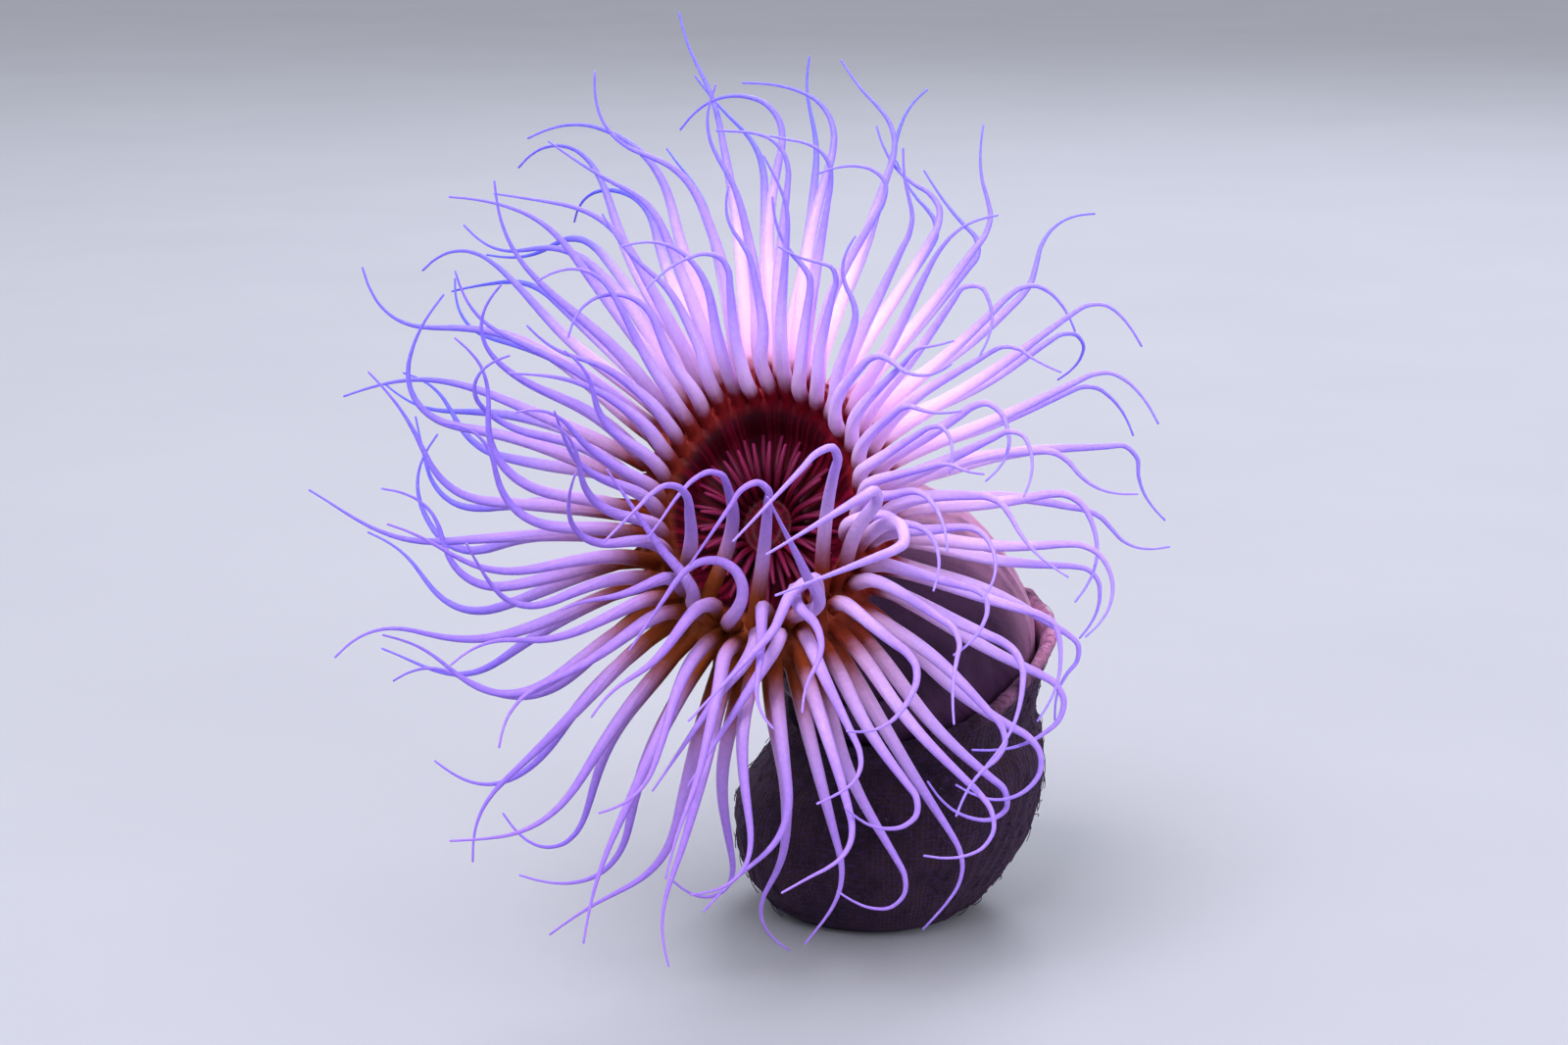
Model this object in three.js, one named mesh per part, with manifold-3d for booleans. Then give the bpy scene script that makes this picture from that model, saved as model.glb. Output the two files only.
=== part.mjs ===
// Sea anemone: a tube anemone (cerianthid) in its felt tube, still pose, life size.
// Units are millimetres. The tube's foot stands on z = 0 at the origin, +Z is up and -Y is the front.
import * as THREE from "three";
import Module from "manifold-3d";

const wasm = await Module();
wasm.setup();

// ---- Driving dimensions -------------------------------------------------------------------------

const GAP = 0.3;

// The crown: a fleshy lip in the shape of a ring, with four cycles of tentacles and the disc inside.
const CROWN = {
  centre: new THREE.Vector3(-27.5, -50, 114.5),
  rise: 34,
  turn: 8,
  across: 0.86,
  tall: 1.06,
  lipRing: 29,
  lipRound: 7,
  lipDepth: 9,
  split: 47,
  faces: [118, 81, 12, -22],
  innerFace: 158,
  outerFoot: 5,
};

// Marginal tentacles: cycles run from the inmost to the outmost, angles in degrees.
const TENTACLE = {
  spokes: 36,
  baseRadius: 2,
  tipRadius: 0.28,
  fullness: 1.8,
  taper: 1.8,
  rootDepth: 5.6,
  stagger: 0.12,
  lengths: [76, 90, 99, 103],
  lifts: [94, 66, 28, -6],
  arches: [46, 34, 20, 8],
  archStart: 0.04,
  archSpan: 0.51,
  waves: 1.1,
  waveStart: 0.1,
  curlStart: 0.7,
  steps: 18,
  cuts: 5,
  straightness: 40,
  collar: 2.8,
  cornerReach: { 3: 1.3, 4: 1.12 },
};

// How the crown lies in the current: one value for each hour, from three o'clock counter-clockwise.
const CLOCK = {
  turn: [-88, -74, 85, 60, 55, 10, -75, -70, -25, -35, -75, -95],
  reach: [0.74, 0.77, 0.87, 0.97, 0.96, 0.88, 0.82, 0.8, 0.78, 0.8, 0.82, 0.77],
  hook: [0.72, 0.76, 0.72, 0.74, 0.68, 0.66, 0.66, 0.68, 0.7, 0.72, 0.7, 0.7],
  span: [0.08, 0.08, 0.09, 0.11, 0.14, 0.18, 0.22, 0.22, 0.2, 0.18, 0.12, 0.09],
  droop: [8, 0, 0, 0, 0, 0, 4, 12, 22, 30, 24, 14],
};

// Tentacles that fold over the disc or hang in front of it, by spoke and cycle.
const folds = (spoke, cycle, lift, arched, lean, length, turn, hook, span, dip) => (
  { spoke, cycle, lift, arched, lean, length, turn, hook, span, dip }
);
const FOLDED = [
  folds(22, 0, 93, 80, -22, 99, 118, 0.69, 0.11, 0),
  folds(24, 0, 136, 89, -2, 82, 129, 0.7, 0.1, -19),
  folds(26, 0, 61, 142, -31, 70, 184, 0.52, 0.24, 0),
  folds(27, 0, 125, 103, -11, 75, 150, 0.66, 0.09, -31),
  folds(29, 0, 77, 100, -35, 74, 43, 0.42, 0.21, 0),
  folds(31, 0, 109, 93, -23, 110, 136, 0.61, 0.07, 0),
  folds(32, 0, 101, 99, -40, 110, 102, 0.43, 0.06, 21),
  folds(33, 0, 100, 49, -38, 110, -163, 0.42, 0.08, 0),
  folds(24, 1, 104, 140, -57, 55, 106, 0.1, 0.12, 0),
  folds(27, 1, 78, 66, 4, 58, -34, 0.25, 0.08, 85),
  folds(28, 1, 72, 66, 0, 56, -32, 0.27, 0.08, 85),
  folds(30, 1, 92, 92, -10, 72, -30, 0.33, 0.08, 90),
];

const SEED = 20261;
const SPREAD = {
  side: 1.2,
  lift: 6,
  arched: 9,
  length: 0.1,
  turn: 32,
  hook: 0.09,
  span: 0.3,
  wave: 12,
  curl: 70,
};
const CLEAR = { rounds: 30, gap: 0.85, swell: 1.2, rooted: 2, freeing: 3, gain: 1.6, share: 0.45 };

// Labial tentacles: the short dark ones round the mouth, in two alternating cycles.
const LABIAL = {
  count: 48,
  groups: 4,
  rings: [7.75, 9.05],
  root: [
    [7.1, -3.3],
    [9.7, -3.4],
    [10, -4.4],
    [6.8, -4.7],
  ],
  length: 16,
  wide: [0.12, 0.24],
  high: [0.8, 0.56],
  flare: 0.5,
  sag: 0.34,
  baseRadius: 0.95,
  thinning: 0.4,
  steps: 2,
};

// The oral disc: its profile is radius and height above the crown's centre along its axis.
const DISC = {
  sides: 18,
  profile: [
    [0, -7.4],
    [2.2, -6.6],
    [3.4, -4.2],
    [5.2, -3.6],
    [6.6, -5],
    [10.5, -4.6],
    [16, -2.8],
    [21.4, -0.6],
    [21.4, -9],
  ],
};

// The animal's column, from its rounded foot inside the tube to the back of the crown.
const COLUMN = {
  spine: [
    [2, 3, 11],
    [6, 2, 34],
    [10.5, 0, 57],
    [4, -6, 82],
  ],
  radii: [5, 17, 23, 27, 31.5, 34, 33.5, 31, 29, 28.5, 30.5, 34.3],
  neck: 24,
  oval: 0.7,
  sides: 16,
  cuts: 11,
  parting: 0.34,
};

// The felt tube: heights and radii of its rings, and how far the mouth has moved and tilted. Each lump
// is a count round the tube, a height, a twist per millimetre up the tube and a start.
const TUBE = {
  heights: [0, 3, 11, 22, 34, 43, 47, 54, 61],
  radii: [23, 28.5, 34.5, 38.6, 40.2, 38.6, 36, 35.4, 36.2],
  shift: new THREE.Vector3(11, 0, 0),
  mouthNormal: new THREE.Vector3(-0.3, -0.23, 0.93).normalize(),
  shiftPower: 1.5,
  tiltPower: 2,
  lumps: [
    [3, 0.7, 0.09, 0],
    [5, 0.5, 0, 1.9],
  ],
  sides: 18,
  partingHeight: 28,
  rimRound: 2.2,
  rimInset: 0.4,
};

// ---- Small helpers ------------------------------------------------------------------------------

const rad = THREE.MathUtils.degToRad;

// A seeded stream of even numbers between -1 and 1.
class Stream {
  constructor(seed) {
    this.state = seed >>> 0;
  }
  next() {
    this.state = (Math.imul(this.state, 1664525) + 1013904223) >>> 0;
    return (2 * this.state) / 4294967296 - 1;
  }
}

const ease = (t) => {
  const k = Math.min(1, Math.max(0, t));
  return k * k * (3 - 2 * k);
};

// The value of an hourly table at a clock angle, eased from one hour to the next. A sharper table
// keeps to its hours' own values and changes quickly half way between them.
function atClock(table, angle, sharpness = 1) {
  const turn = ((angle / (2 * Math.PI)) % 1 + 1) % 1;
  const place = turn * table.length;
  const hour = Math.floor(place) % table.length;
  const share = ease((place - Math.floor(place) - 0.5) * sharpness + 0.5);
  return table[hour] * (1 - share) + table[(hour + 1) % table.length] * share;
}

function turned(from, to, share) {
  const angle = from.angleTo(to);
  if (angle < 1e-6) return from.clone();
  const a = Math.sin((1 - share) * angle) / Math.sin(angle);
  const b = Math.sin(share * angle) / Math.sin(angle);
  return from.clone().multiplyScalar(a).addScaledVector(to, b);
}

const tippedForward = (v, a) =>
  new THREE.Vector3(v.x, v.y * Math.cos(a) - v.z * Math.sin(a), v.y * Math.sin(a) + v.z * Math.cos(a));

const sweptAcross = (v, a) =>
  new THREE.Vector3(v.x * Math.cos(a) - v.z * Math.sin(a), v.y, v.x * Math.sin(a) + v.z * Math.cos(a));

// The crown's own directions: AXIS out of the mouth, SIDE to three o'clock and UP to twelve o'clock.
const AXIS = new THREE.Vector3(
  -Math.sin(rad(CROWN.turn)) * Math.cos(rad(CROWN.rise)),
  -Math.cos(rad(CROWN.turn)) * Math.cos(rad(CROWN.rise)),
  Math.sin(rad(CROWN.rise)),
);
const SIDE = new THREE.Vector3(Math.cos(rad(CROWN.turn)), -Math.sin(rad(CROWN.turn)), 0);
const UP = new THREE.Vector3().crossVectors(AXIS, SIDE);

const outward = (angle) =>
  SIDE.clone().multiplyScalar(Math.cos(angle)).addScaledVector(UP, Math.sin(angle));

// A point of the crown, whose rings are oval: narrower from side to side than from top to bottom.
const crownPoint = (angle, radius, height) =>
  CROWN.centre
    .clone()
    .addScaledVector(SIDE, CROWN.across * radius * Math.cos(angle))
    .addScaledVector(UP, CROWN.tall * radius * Math.sin(angle))
    .addScaledVector(AXIS, height);

// ---- Solids from rings --------------------------------------------------------------------------

// Joins two rings of any counts, given as lists of point numbers that run the same way round.
function stitch(triangles, first, second) {
  let i = 0;
  let j = 0;
  while (i < first.length || j < second.length) {
    const a = first[i % first.length];
    const b = second[j % second.length];
    if (j >= second.length || (i < first.length && (i + 1) / first.length <= (j + 1) / second.length)) {
      triangles.push(a, first[(i + 1) % first.length], b);
      i += 1;
    } else {
      triangles.push(a, second[(j + 1) % second.length], b);
      j += 1;
    }
  }
}

function solidFrom(points, triangles) {
  const vertProperties = new Float32Array(points.flatMap((p) => [p.x, p.y, p.z]));
  const mesh = new wasm.Mesh({ numProp: 3, vertProperties, triVerts: new Uint32Array(triangles) });
  return new wasm.Manifold(mesh);
}

// A closed solid through rings of points that run anticlockwise as seen from beyond the last ring:
// "flat" ends get a fan, "loop" joins the last ring to the first.
function loft(rings, closing = "flat") {
  const points = rings.flat();
  const starts = rings.map((_, k) => rings.slice(0, k).reduce((sum, ring) => sum + ring.length, 0));
  const numbered = rings.map((ring, k) => ring.map((_, i) => starts[k] + i));
  const triangles = [];
  for (let k = 0; k < rings.length - (closing === "loop" ? 0 : 1); k += 1) {
    stitch(triangles, numbered[k], numbered[(k + 1) % rings.length]);
  }
  if (closing === "flat") {
    const [first, last] = [numbered[0], numbered[rings.length - 1]];
    for (let i = 1; i < first.length - 1; i += 1) triangles.push(first[0], first[i + 1], first[i]);
    for (let i = 1; i < last.length - 1; i += 1) triangles.push(last[0], last[i], last[i + 1]);
  }
  return solidFrom(points, triangles);
}

// A closed bar through outlines, where chosen faces grow on into the rings of a tentacle.
// shoots(j, i) gives the rings that grow from the face after outline j and point i, or nothing.
function sproutingBar(outlines, shoots) {
  const points = outlines.flat();
  const size = outlines[0].length;
  const triangles = [];
  for (let j = 0; j < outlines.length - 1; j += 1) {
    for (let i = 0; i < size; i += 1) {
      const next = (i + 1) % size;
      const face = [j * size + i, j * size + next, (j + 1) * size + next, (j + 1) * size + i];
      const rings = shoots(j, i, face.map((k) => points[k]));
      if (!rings) {
        triangles.push(face[0], face[1], face[2], face[0], face[2], face[3]);
        continue;
      }
      let before = face;
      for (const ring of rings) {
        const start = points.length;
        points.push(...ring);
        const now = ring.map((_, k) => start + k);
        stitch(triangles, before, now);
        before = now;
      }
      for (let k = 1; k < before.length - 1; k += 1) triangles.push(before[0], before[k], before[k + 1]);
    }
  }
  const last = (outlines.length - 1) * size;
  for (let i = 1; i < size - 1; i += 1) {
    triangles.push(0, i + 1, i);
    triangles.push(last, last + i, last + i + 1);
  }
  return solidFrom(points, triangles);
}

function toGeometry(solid) {
  const mesh = solid.getMesh();
  const geometry = new THREE.BufferGeometry();
  const stride = mesh.numProp;
  const positions = new Float32Array((mesh.vertProperties.length / stride) * 3);
  for (let i = 0; i < positions.length / 3; i += 1) {
    positions.set(mesh.vertProperties.subarray(i * stride, i * stride + 3), i * 3);
  }
  geometry.setAttribute("position", new THREE.BufferAttribute(positions, 3));
  geometry.setIndex(new THREE.BufferAttribute(new Uint32Array(mesh.triVerts), 1));
  return geometry;
}

// ---- Centre lines of the marginal tentacles -----------------------------------------------------

function tentaclePlans() {
  const stream = new Stream(SEED);
  const plans = [];
  for (let spoke = 0; spoke < TENTACLE.spokes; spoke += 1) {
    for (let cycle = 0; cycle < TENTACLE.lengths.length; cycle += 1) {
      const q = Array.from({ length: 8 }, () => stream.next());
      const offset = 0.5 * (cycle % 2) + TENTACLE.stagger * Math.floor(cycle / 2);
      const clock = (2 * Math.PI * (spoke + offset)) / TENTACLE.spokes;
      const drawn = {
        spoke,
        cycle,
        angle: clock + rad(SPREAD.side * q[0]),
        lift: TENTACLE.lifts[cycle] + SPREAD.lift * q[1],
        arched:
          TENTACLE.lifts[cycle] -
          TENTACLE.arches[cycle] -
          atClock(CLOCK.droop, clock) +
          SPREAD.arched * q[2],
        length: TENTACLE.lengths[cycle] * atClock(CLOCK.reach, clock) * (1 + SPREAD.length * q[3]),
        turn: atClock(CLOCK.turn, clock, 3) + SPREAD.turn * q[4],
        hook: atClock(CLOCK.hook, clock) + SPREAD.hook * q[5],
        span: atClock(CLOCK.span, clock) * (1 + SPREAD.span * q[6]),
        wave: SPREAD.wave * q[7],
        curl: SPREAD.curl * q[7],
        dip: 0,
        lean: 0,
      };
      const folded = FOLDED.find((f) => f.spoke === spoke && f.cycle === cycle);
      plans.push(folded ? { ...drawn, wave: 0, curl: 0, ...folded } : drawn);
    }
  }
  return plans;
}

// Grows one tentacle from the lip: it arches away from the axis, hooks over with the current and curls
// at its tip.
function grow(plan) {
  const out = outward(plan.angle);
  const heading = (lift) =>
    out.clone().multiplyScalar(Math.cos(rad(lift))).addScaledVector(AXIS, Math.sin(rad(lift)));
  const rootLift = rad(TENTACLE.lifts[plan.cycle]);
  const point = crownPoint(
    plan.angle,
    CROWN.lipRing + TENTACLE.rootDepth * Math.cos(rootLift),
    TENTACLE.rootDepth * Math.sin(rootLift),
  );
  const step = plan.length / TENTACLE.steps;
  const points = [point.clone()];
  for (let k = 0; k < TENTACLE.steps; k += 1) {
    const s = (k + 0.5) / TENTACLE.steps;
    const arching = ease((s - TENTACLE.archStart) / TENTACLE.archSpan);
    const hooking = ease((s - plan.hook + plan.span) / (2 * plan.span));
    const waving = Math.sin(2 * Math.PI * (TENTACLE.waves * s + TENTACLE.waveStart)) * ease(3 * s);
    let way = turned(heading(plan.lift), heading(plan.arched), arching);
    way = tippedForward(way, rad(plan.dip * hooking));
    const curling = ease((s - TENTACLE.curlStart) / (1 - TENTACLE.curlStart));
    const sweep = plan.lean + plan.turn * hooking + plan.wave * waving + plan.curl * curling;
    way = sweptAcross(way, rad(sweep));
    point.addScaledVector(way, step);
    points.push(point.clone());
  }
  return points;
}

// How thick a tentacle is at a share of its length: stout for half of it, then drawn out thin.
const thickness = (s) =>
  THREE.MathUtils.lerp(
    TENTACLE.tipRadius,
    TENTACLE.baseRadius,
    (1 - s ** TENTACLE.fullness) ** TENTACLE.taper,
  );

// Nearest points of two short lengths, as shares along each.
function nearest(p1, q1, p2, q2) {
  const d1 = q1.clone().sub(p1);
  const d2 = q2.clone().sub(p2);
  const r = p1.clone().sub(p2);
  const a = d1.dot(d1);
  const e = d2.dot(d2);
  const b = d1.dot(d2);
  const c = d1.dot(r);
  const f = d2.dot(r);
  const across = a * e - b * b;
  let s = across > 1e-9 ? THREE.MathUtils.clamp((b * f - c * e) / across, 0, 1) : 0.5;
  const free = (b * s + f) / e;
  const t = THREE.MathUtils.clamp(free, 0, 1);
  if (t !== free) s = THREE.MathUtils.clamp((b * t - c) / a, 0, 1);
  return [s, t];
}

// Eases crossing tentacles apart, a little each round, without moving their roots.
function clearOfEachOther(lines) {
  const steps = TENTACLE.steps;
  const radii = Array.from({ length: steps + 1 }, (_, k) => thickness(k / steps));
  for (let round = 0; round < CLEAR.rounds; round += 1) {
    const moves = lines.map((line) => line.map(() => new THREE.Vector3()));
    const weights = lines.map((line) => line.map(() => 0));
    const middles = lines.map((line) =>
      line.slice(1).map((p, k) => p.clone().add(line[k]).multiplyScalar(0.5)),
    );
    const halves = lines.map((line) => line[0].distanceTo(line[1]) / 2);
    for (let i = 0; i < lines.length; i += 1) {
      for (let j = i + 1; j < lines.length; j += 1) {
        const reach = halves[i] + halves[j] + 2 * CLEAR.swell * TENTACLE.baseRadius + CLEAR.gap + 1;
        for (let m = 0; m < steps; m += 1) {
          for (let n = 0; n < steps; n += 1) {
            if (m < CLEAR.rooted && n < CLEAR.rooted) continue;
            if (middles[i][m].distanceToSquared(middles[j][n]) > reach * reach) continue;
            const [s, t] = nearest(lines[i][m], lines[i][m + 1], lines[j][n], lines[j][n + 1]);
            const here = lines[i][m].clone().lerp(lines[i][m + 1], s);
            const there = lines[j][n].clone().lerp(lines[j][n + 1], t);
            const apart = here.clone().sub(there);
            const radiusHere = radii[m] * (1 - s) + radii[m + 1] * s;
            const radiusThere = radii[n] * (1 - t) + radii[n + 1] * t;
            const short = CLEAR.swell * (radiusHere + radiusThere) + CLEAR.gap - apart.length();
            if (short <= 0) continue;
            apart.normalize().multiplyScalar(short * CLEAR.share);
            moves[i][m].addScaledVector(apart, 1 - s);
            moves[i][m + 1].addScaledVector(apart, s);
            moves[j][n].addScaledVector(apart, t - 1);
            moves[j][n + 1].addScaledVector(apart, -t);
            weights[i][m] += 1 - s;
            weights[i][m + 1] += s;
            weights[j][n] += 1 - t;
            weights[j][n + 1] += t;
          }
        }
      }
    }
    lines.forEach((line, i) => {
      let move = moves[i].map((v, k) => {
        const freedom = THREE.MathUtils.clamp((k - CLEAR.rooted) / CLEAR.freeing, 0, 1);
        return v.multiplyScalar(freedom / Math.max(1, weights[i][k]));
      });
      for (let pass = 0; pass < 2; pass += 1) {
        move = move.map((v, k) => {
          if (k === 0) return v;
          if (k === steps) return v.clone().add(move[k - 1]).multiplyScalar(0.5);
          return move[k - 1].clone().add(move[k + 1]).multiplyScalar(0.25).addScaledVector(v, 0.5);
        });
      }
      line.forEach((point, k) => point.addScaledVector(move[k], CLEAR.gain));
    });
  }
}

// ---- Tentacle solids ----------------------------------------------------------------------------

// Places along a line past its root, closer together where it bends, counted in steps.
function stations(line, from, count) {
  const cost = [0];
  for (let k = 1; k < line.length; k += 1) {
    const before = line[k].clone().sub(line[k - 1]);
    const after = line[Math.min(k + 1, line.length - 1)].clone().sub(line[k]);
    const bend = k < line.length - 1 ? before.angleTo(after) : 0;
    cost.push(cost[k - 1] + before.length() / TENTACLE.straightness + bend);
  }
  const start = cost[1] * from;
  let k = 1;
  return Array.from({ length: count + 1 }, (_, n) => {
    const want = start + ((cost[cost.length - 1] - start) * n) / count;
    while (k < line.length - 1 && cost[k] < want) k += 1;
    return k - 1 + THREE.MathUtils.clamp((want - cost[k - 1]) / (cost[k] - cost[k - 1]), 0, 1);
  });
}

// Rings round a line: four-sided at the collar, three-sided on to the tip, never twisting.
// The first point of each ring follows on from the given corner of the face it grows from.
function tentacleRings(line, corner) {
  const places = stations(line, TENTACLE.collar / line[0].distanceTo(line[1]), TENTACLE.cuts);
  const spots = places.map((place) => {
    const k = Math.min(line.length - 2, Math.floor(place));
    return line[k].clone().lerp(line[k + 1], place - k);
  });
  let across = corner.clone().sub(spots[0]);
  return spots.map((spot, n) => {
    const next = spots[Math.min(n + 1, TENTACLE.cuts)];
    const ahead = next.clone().sub(spots[Math.max(n - 1, 0)]).normalize();
    across = across.clone().addScaledVector(ahead, -across.dot(ahead)).normalize();
    const other = new THREE.Vector3().crossVectors(ahead, across);
    const sides = n === 0 ? 4 : 3;
    const radius = thickness(places[n] / TENTACLE.steps) * TENTACLE.cornerReach[sides];
    return Array.from({ length: sides }, (_, i) => {
      const a = (2 * Math.PI * i) / sides;
      return spot
        .clone()
        .addScaledVector(across, radius * Math.cos(a))
        .addScaledVector(other, radius * Math.sin(a));
    });
  });
}

// ---- The lip of the crown, in wedges ------------------------------------------------------------

// Cross-section of the inner or the outer half of the lip, as radius and height. Going round it, the
// first two faces are the ones that tentacles grow from.
function lipOutline(half) {
  const { lipRing, lipRound, lipDepth, split, faces, innerFace, outerFoot } = CROWN;
  const at = (degrees) => [lipRing + lipRound * Math.cos(rad(degrees)), lipRound * Math.sin(rad(degrees))];
  const edge = THREE.MathUtils.radToDeg(GAP / 2 / lipRound);
  if (half === "inner") {
    return [
      at(split + edge),
      at(faces[1]),
      at(faces[0]),
      at(innerFace),
      [lipRing - lipRound, -lipDepth],
      [lipRing - GAP, -lipDepth],
    ].reverse();
  }
  return [
    at(split - edge),
    at(faces[2]),
    at(faces[3]),
    [lipRing + outerFoot, -lipDepth],
    [lipRing, -lipDepth],
  ];
}

// A wedge of the lip with its tentacles: the columns run half a spoke each, so that the cycles alternate.
function crownSector(half, sector, plans, lines) {
  const spoke = (2 * Math.PI) / TENTACLE.spokes;
  const margin = GAP / 2 / CROWN.lipRing;
  const outline = lipOutline(half);
  const outlines = [0, 1, 2, 3, 4].map((column) => {
    const angle = spoke * (2 * sector - 0.25 + 0.5 * column) + margin * (1 - column / 2);
    return outline.map(([radius, height]) => crownPoint(angle, radius, height));
  });
  return sproutingBar(outlines, (column, i, corners) => {
    const row = half === "inner" ? 4 - i : i;
    const cycle = half === "inner" ? 1 - row : 2 + row;
    if (row < 0 || row > 1 || column % 2 !== cycle % 2) return null;
    const k = plans.findIndex((p) => p.cycle === cycle && p.spoke === 2 * sector + Math.floor(column / 2));
    return tentacleRings(lines[k], corners[0]);
  });
}

// ---- Body ---------------------------------------------------------------------------------------

// A closed ring of points round a centre, in the plane across a direction.
function ringAround(centre, normal, radius, sides) {
  const across = new THREE.Vector3(1, 0, 0).addScaledVector(normal, -normal.x).normalize();
  const other = new THREE.Vector3().crossVectors(normal, across);
  return Array.from({ length: sides }, (_, i) => {
    const a = (2 * Math.PI * i) / sides;
    return centre
      .clone()
      .addScaledVector(across, radius(a) * Math.cos(a))
      .addScaledVector(other, radius(a) * Math.sin(a));
  });
}

// The column's centre line, ending square to the back of the crown.
const columnCurve = new THREE.CatmullRomCurve3([
  ...COLUMN.spine.map((p) => new THREE.Vector3(...p)),
  CROWN.centre.clone().addScaledVector(AXIS, -COLUMN.neck),
  CROWN.centre.clone().addScaledVector(AXIS, -CROWN.lipDepth - GAP),
]);

function columnRadius(t) {
  const place = t * (COLUMN.radii.length - 1);
  const k = Math.min(COLUMN.radii.length - 2, Math.floor(place));
  return THREE.MathUtils.lerp(COLUMN.radii[k], COLUMN.radii[k + 1], place - k);
}

// The column with its wall moved out by a distance: round below, oval where it meets the crown.
function columnSolid(grown) {
  const rings = Array.from({ length: COLUMN.cuts + 1 }, (_, k) => {
    const t = k / COLUMN.cuts;
    const along = t === 1 ? AXIS : columnCurve.getTangentAt(t);
    const centre = columnCurve.getPointAt(t).addScaledVector(along, k === 0 ? -grown : 0);
    const oval = ease((t - COLUMN.oval) / (1 - COLUMN.oval));
    const across = THREE.MathUtils.lerp(1, CROWN.across, oval);
    const tall = THREE.MathUtils.lerp(1, CROWN.tall, oval);
    const radius = (a) => columnRadius(t) / Math.hypot(Math.cos(a) / across, Math.sin(a) / tall) + grown;
    return ringAround(centre, along, radius, COLUMN.sides);
  });
  return loft(rings);
}

// The tube's outer wall, a little out of round, with its mouth moved over and tilted.
function tubeRing(height, radius, grown) {
  const share = height / TUBE.heights[TUBE.heights.length - 1];
  const centre = TUBE.shift.clone().multiplyScalar(share ** TUBE.shiftPower);
  centre.z = height;
  const normal = turned(new THREE.Vector3(0, 0, 1), TUBE.mouthNormal, share ** TUBE.tiltPower);
  const lumps = height > 0 ? TUBE.lumps : [];
  const out = (a) =>
    lumps.reduce((sum, [count, high, twist, start]) => {
      return sum + high * Math.sin(count * a + twist * height + start);
    }, radius + grown);
  return ringAround(centre, normal, out, TUBE.sides);
}

function tubeSolid() {
  return loft(TUBE.heights.map((height, k) => tubeRing(height, TUBE.radii[k], 0)));
}

// The rolled felt edge of the tube's mouth.
function rimSolid() {
  const last = TUBE.heights.length - 1;
  const high = TUBE.heights[last] + TUBE.rimRound + GAP;
  const mouth = TUBE.radii[last] - TUBE.rimInset;
  const rings = [0, 1, 2, 3].map((k) => {
    const a = (Math.PI * k) / 2;
    const height = high + TUBE.rimRound * Math.sin(a);
    return tubeRing(height, mouth, TUBE.rimRound * Math.cos(a));
  });
  return loft(rings, "loop");
}

function discSolid() {
  const turn = (2 * Math.PI) / DISC.sides;
  const centre = [CROWN.centre.clone().addScaledVector(AXIS, DISC.profile[0][1])];
  const rings = DISC.profile.slice(1).map(([radius, height]) =>
    Array.from({ length: DISC.sides }, (_, i) => crownPoint(turn * i, radius, height)),
  );
  return loft([centre, ...rings].reverse());
}

// One quarter of the labial tentacles, on a low arc of flesh round the mouth.
function labialSector(group) {
  const share = LABIAL.count / LABIAL.groups;
  const turn = (2 * Math.PI) / LABIAL.count;
  const margin = GAP / 2 / LABIAL.rings[0];
  const outlines = Array.from({ length: share + 1 }, (_, k) => {
    const angle = turn * (share * group + k - 0.5) + margin * (1 - (2 * k) / share);
    return LABIAL.root.map(([radius, height]) => crownPoint(angle, radius, height));
  });
  return sproutingBar(outlines, (column, i) => {
    if (i !== 0) return null;
    const angle = turn * (share * group + column);
    const cycle = column % 2;
    return Array.from({ length: LABIAL.steps }, (_, k) => {
      const s = (k + 1) / LABIAL.steps;
      const centre = crownPoint(
        angle,
        LABIAL.rings[cycle] + LABIAL.length * (LABIAL.wide[cycle] + LABIAL.flare * s) * s,
        LABIAL.root[0][1] + LABIAL.length * (LABIAL.high[cycle] - LABIAL.sag * s) * s,
      );
      if (k === LABIAL.steps - 1) return [centre];
      const rising = LABIAL.high[cycle] - 2 * LABIAL.sag * s;
      const slope = Math.atan2(rising, LABIAL.wide[cycle] + 2 * LABIAL.flare * s);
      const round = LABIAL.baseRadius * (1 - LABIAL.thinning * s);
      return [0, 1, 2].map((n) => {
        const a = (2 * Math.PI * (n + 0.5)) / 3;
        return centre
          .clone()
          .addScaledVector(outward(angle + Math.PI / 2), -round * Math.sin(a))
          .addScaledVector(outward(angle), -round * Math.cos(a) * Math.sin(slope))
          .addScaledVector(AXIS, round * Math.cos(a) * Math.cos(slope));
      });
    });
  });
}

// ---- Materials and assembly ---------------------------------------------------------------------

const flesh = (colour) => new THREE.MeshStandardMaterial({ color: colour, roughness: 0.45, metalness: 0 });
const FINISH = {
  tentacle: flesh(0xd9b3e6),
  inner: flesh(0xe7bfe0),
  disc: flesh(0x3c0a14),
  labial: flesh(0x5a1420),
  column: flesh(0xb98aa0),
  felt: new THREE.MeshStandardMaterial({ color: 0x3b2b36, roughness: 0.95, metalness: 0 }),
};

const anemone = new THREE.Group();
anemone.name = "sea_anemone";

function place(name, solid, material) {
  const mesh = new THREE.Mesh(toGeometry(solid), material);
  mesh.name = name;
  anemone.add(mesh);
}

// The tube, hollowed for the column and parted in two lengths.
const bore = columnSolid(GAP);
const tube = tubeSolid().subtract(bore);
place("tube_lower", tube.trimByPlane([0, 0, -1], -TUBE.partingHeight), FINISH.felt);
place("tube_upper", tube.trimByPlane([0, 0, 1], TUBE.partingHeight + GAP), FINISH.felt);
place("tube_rim", rimSolid().subtract(bore), FINISH.felt);

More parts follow.
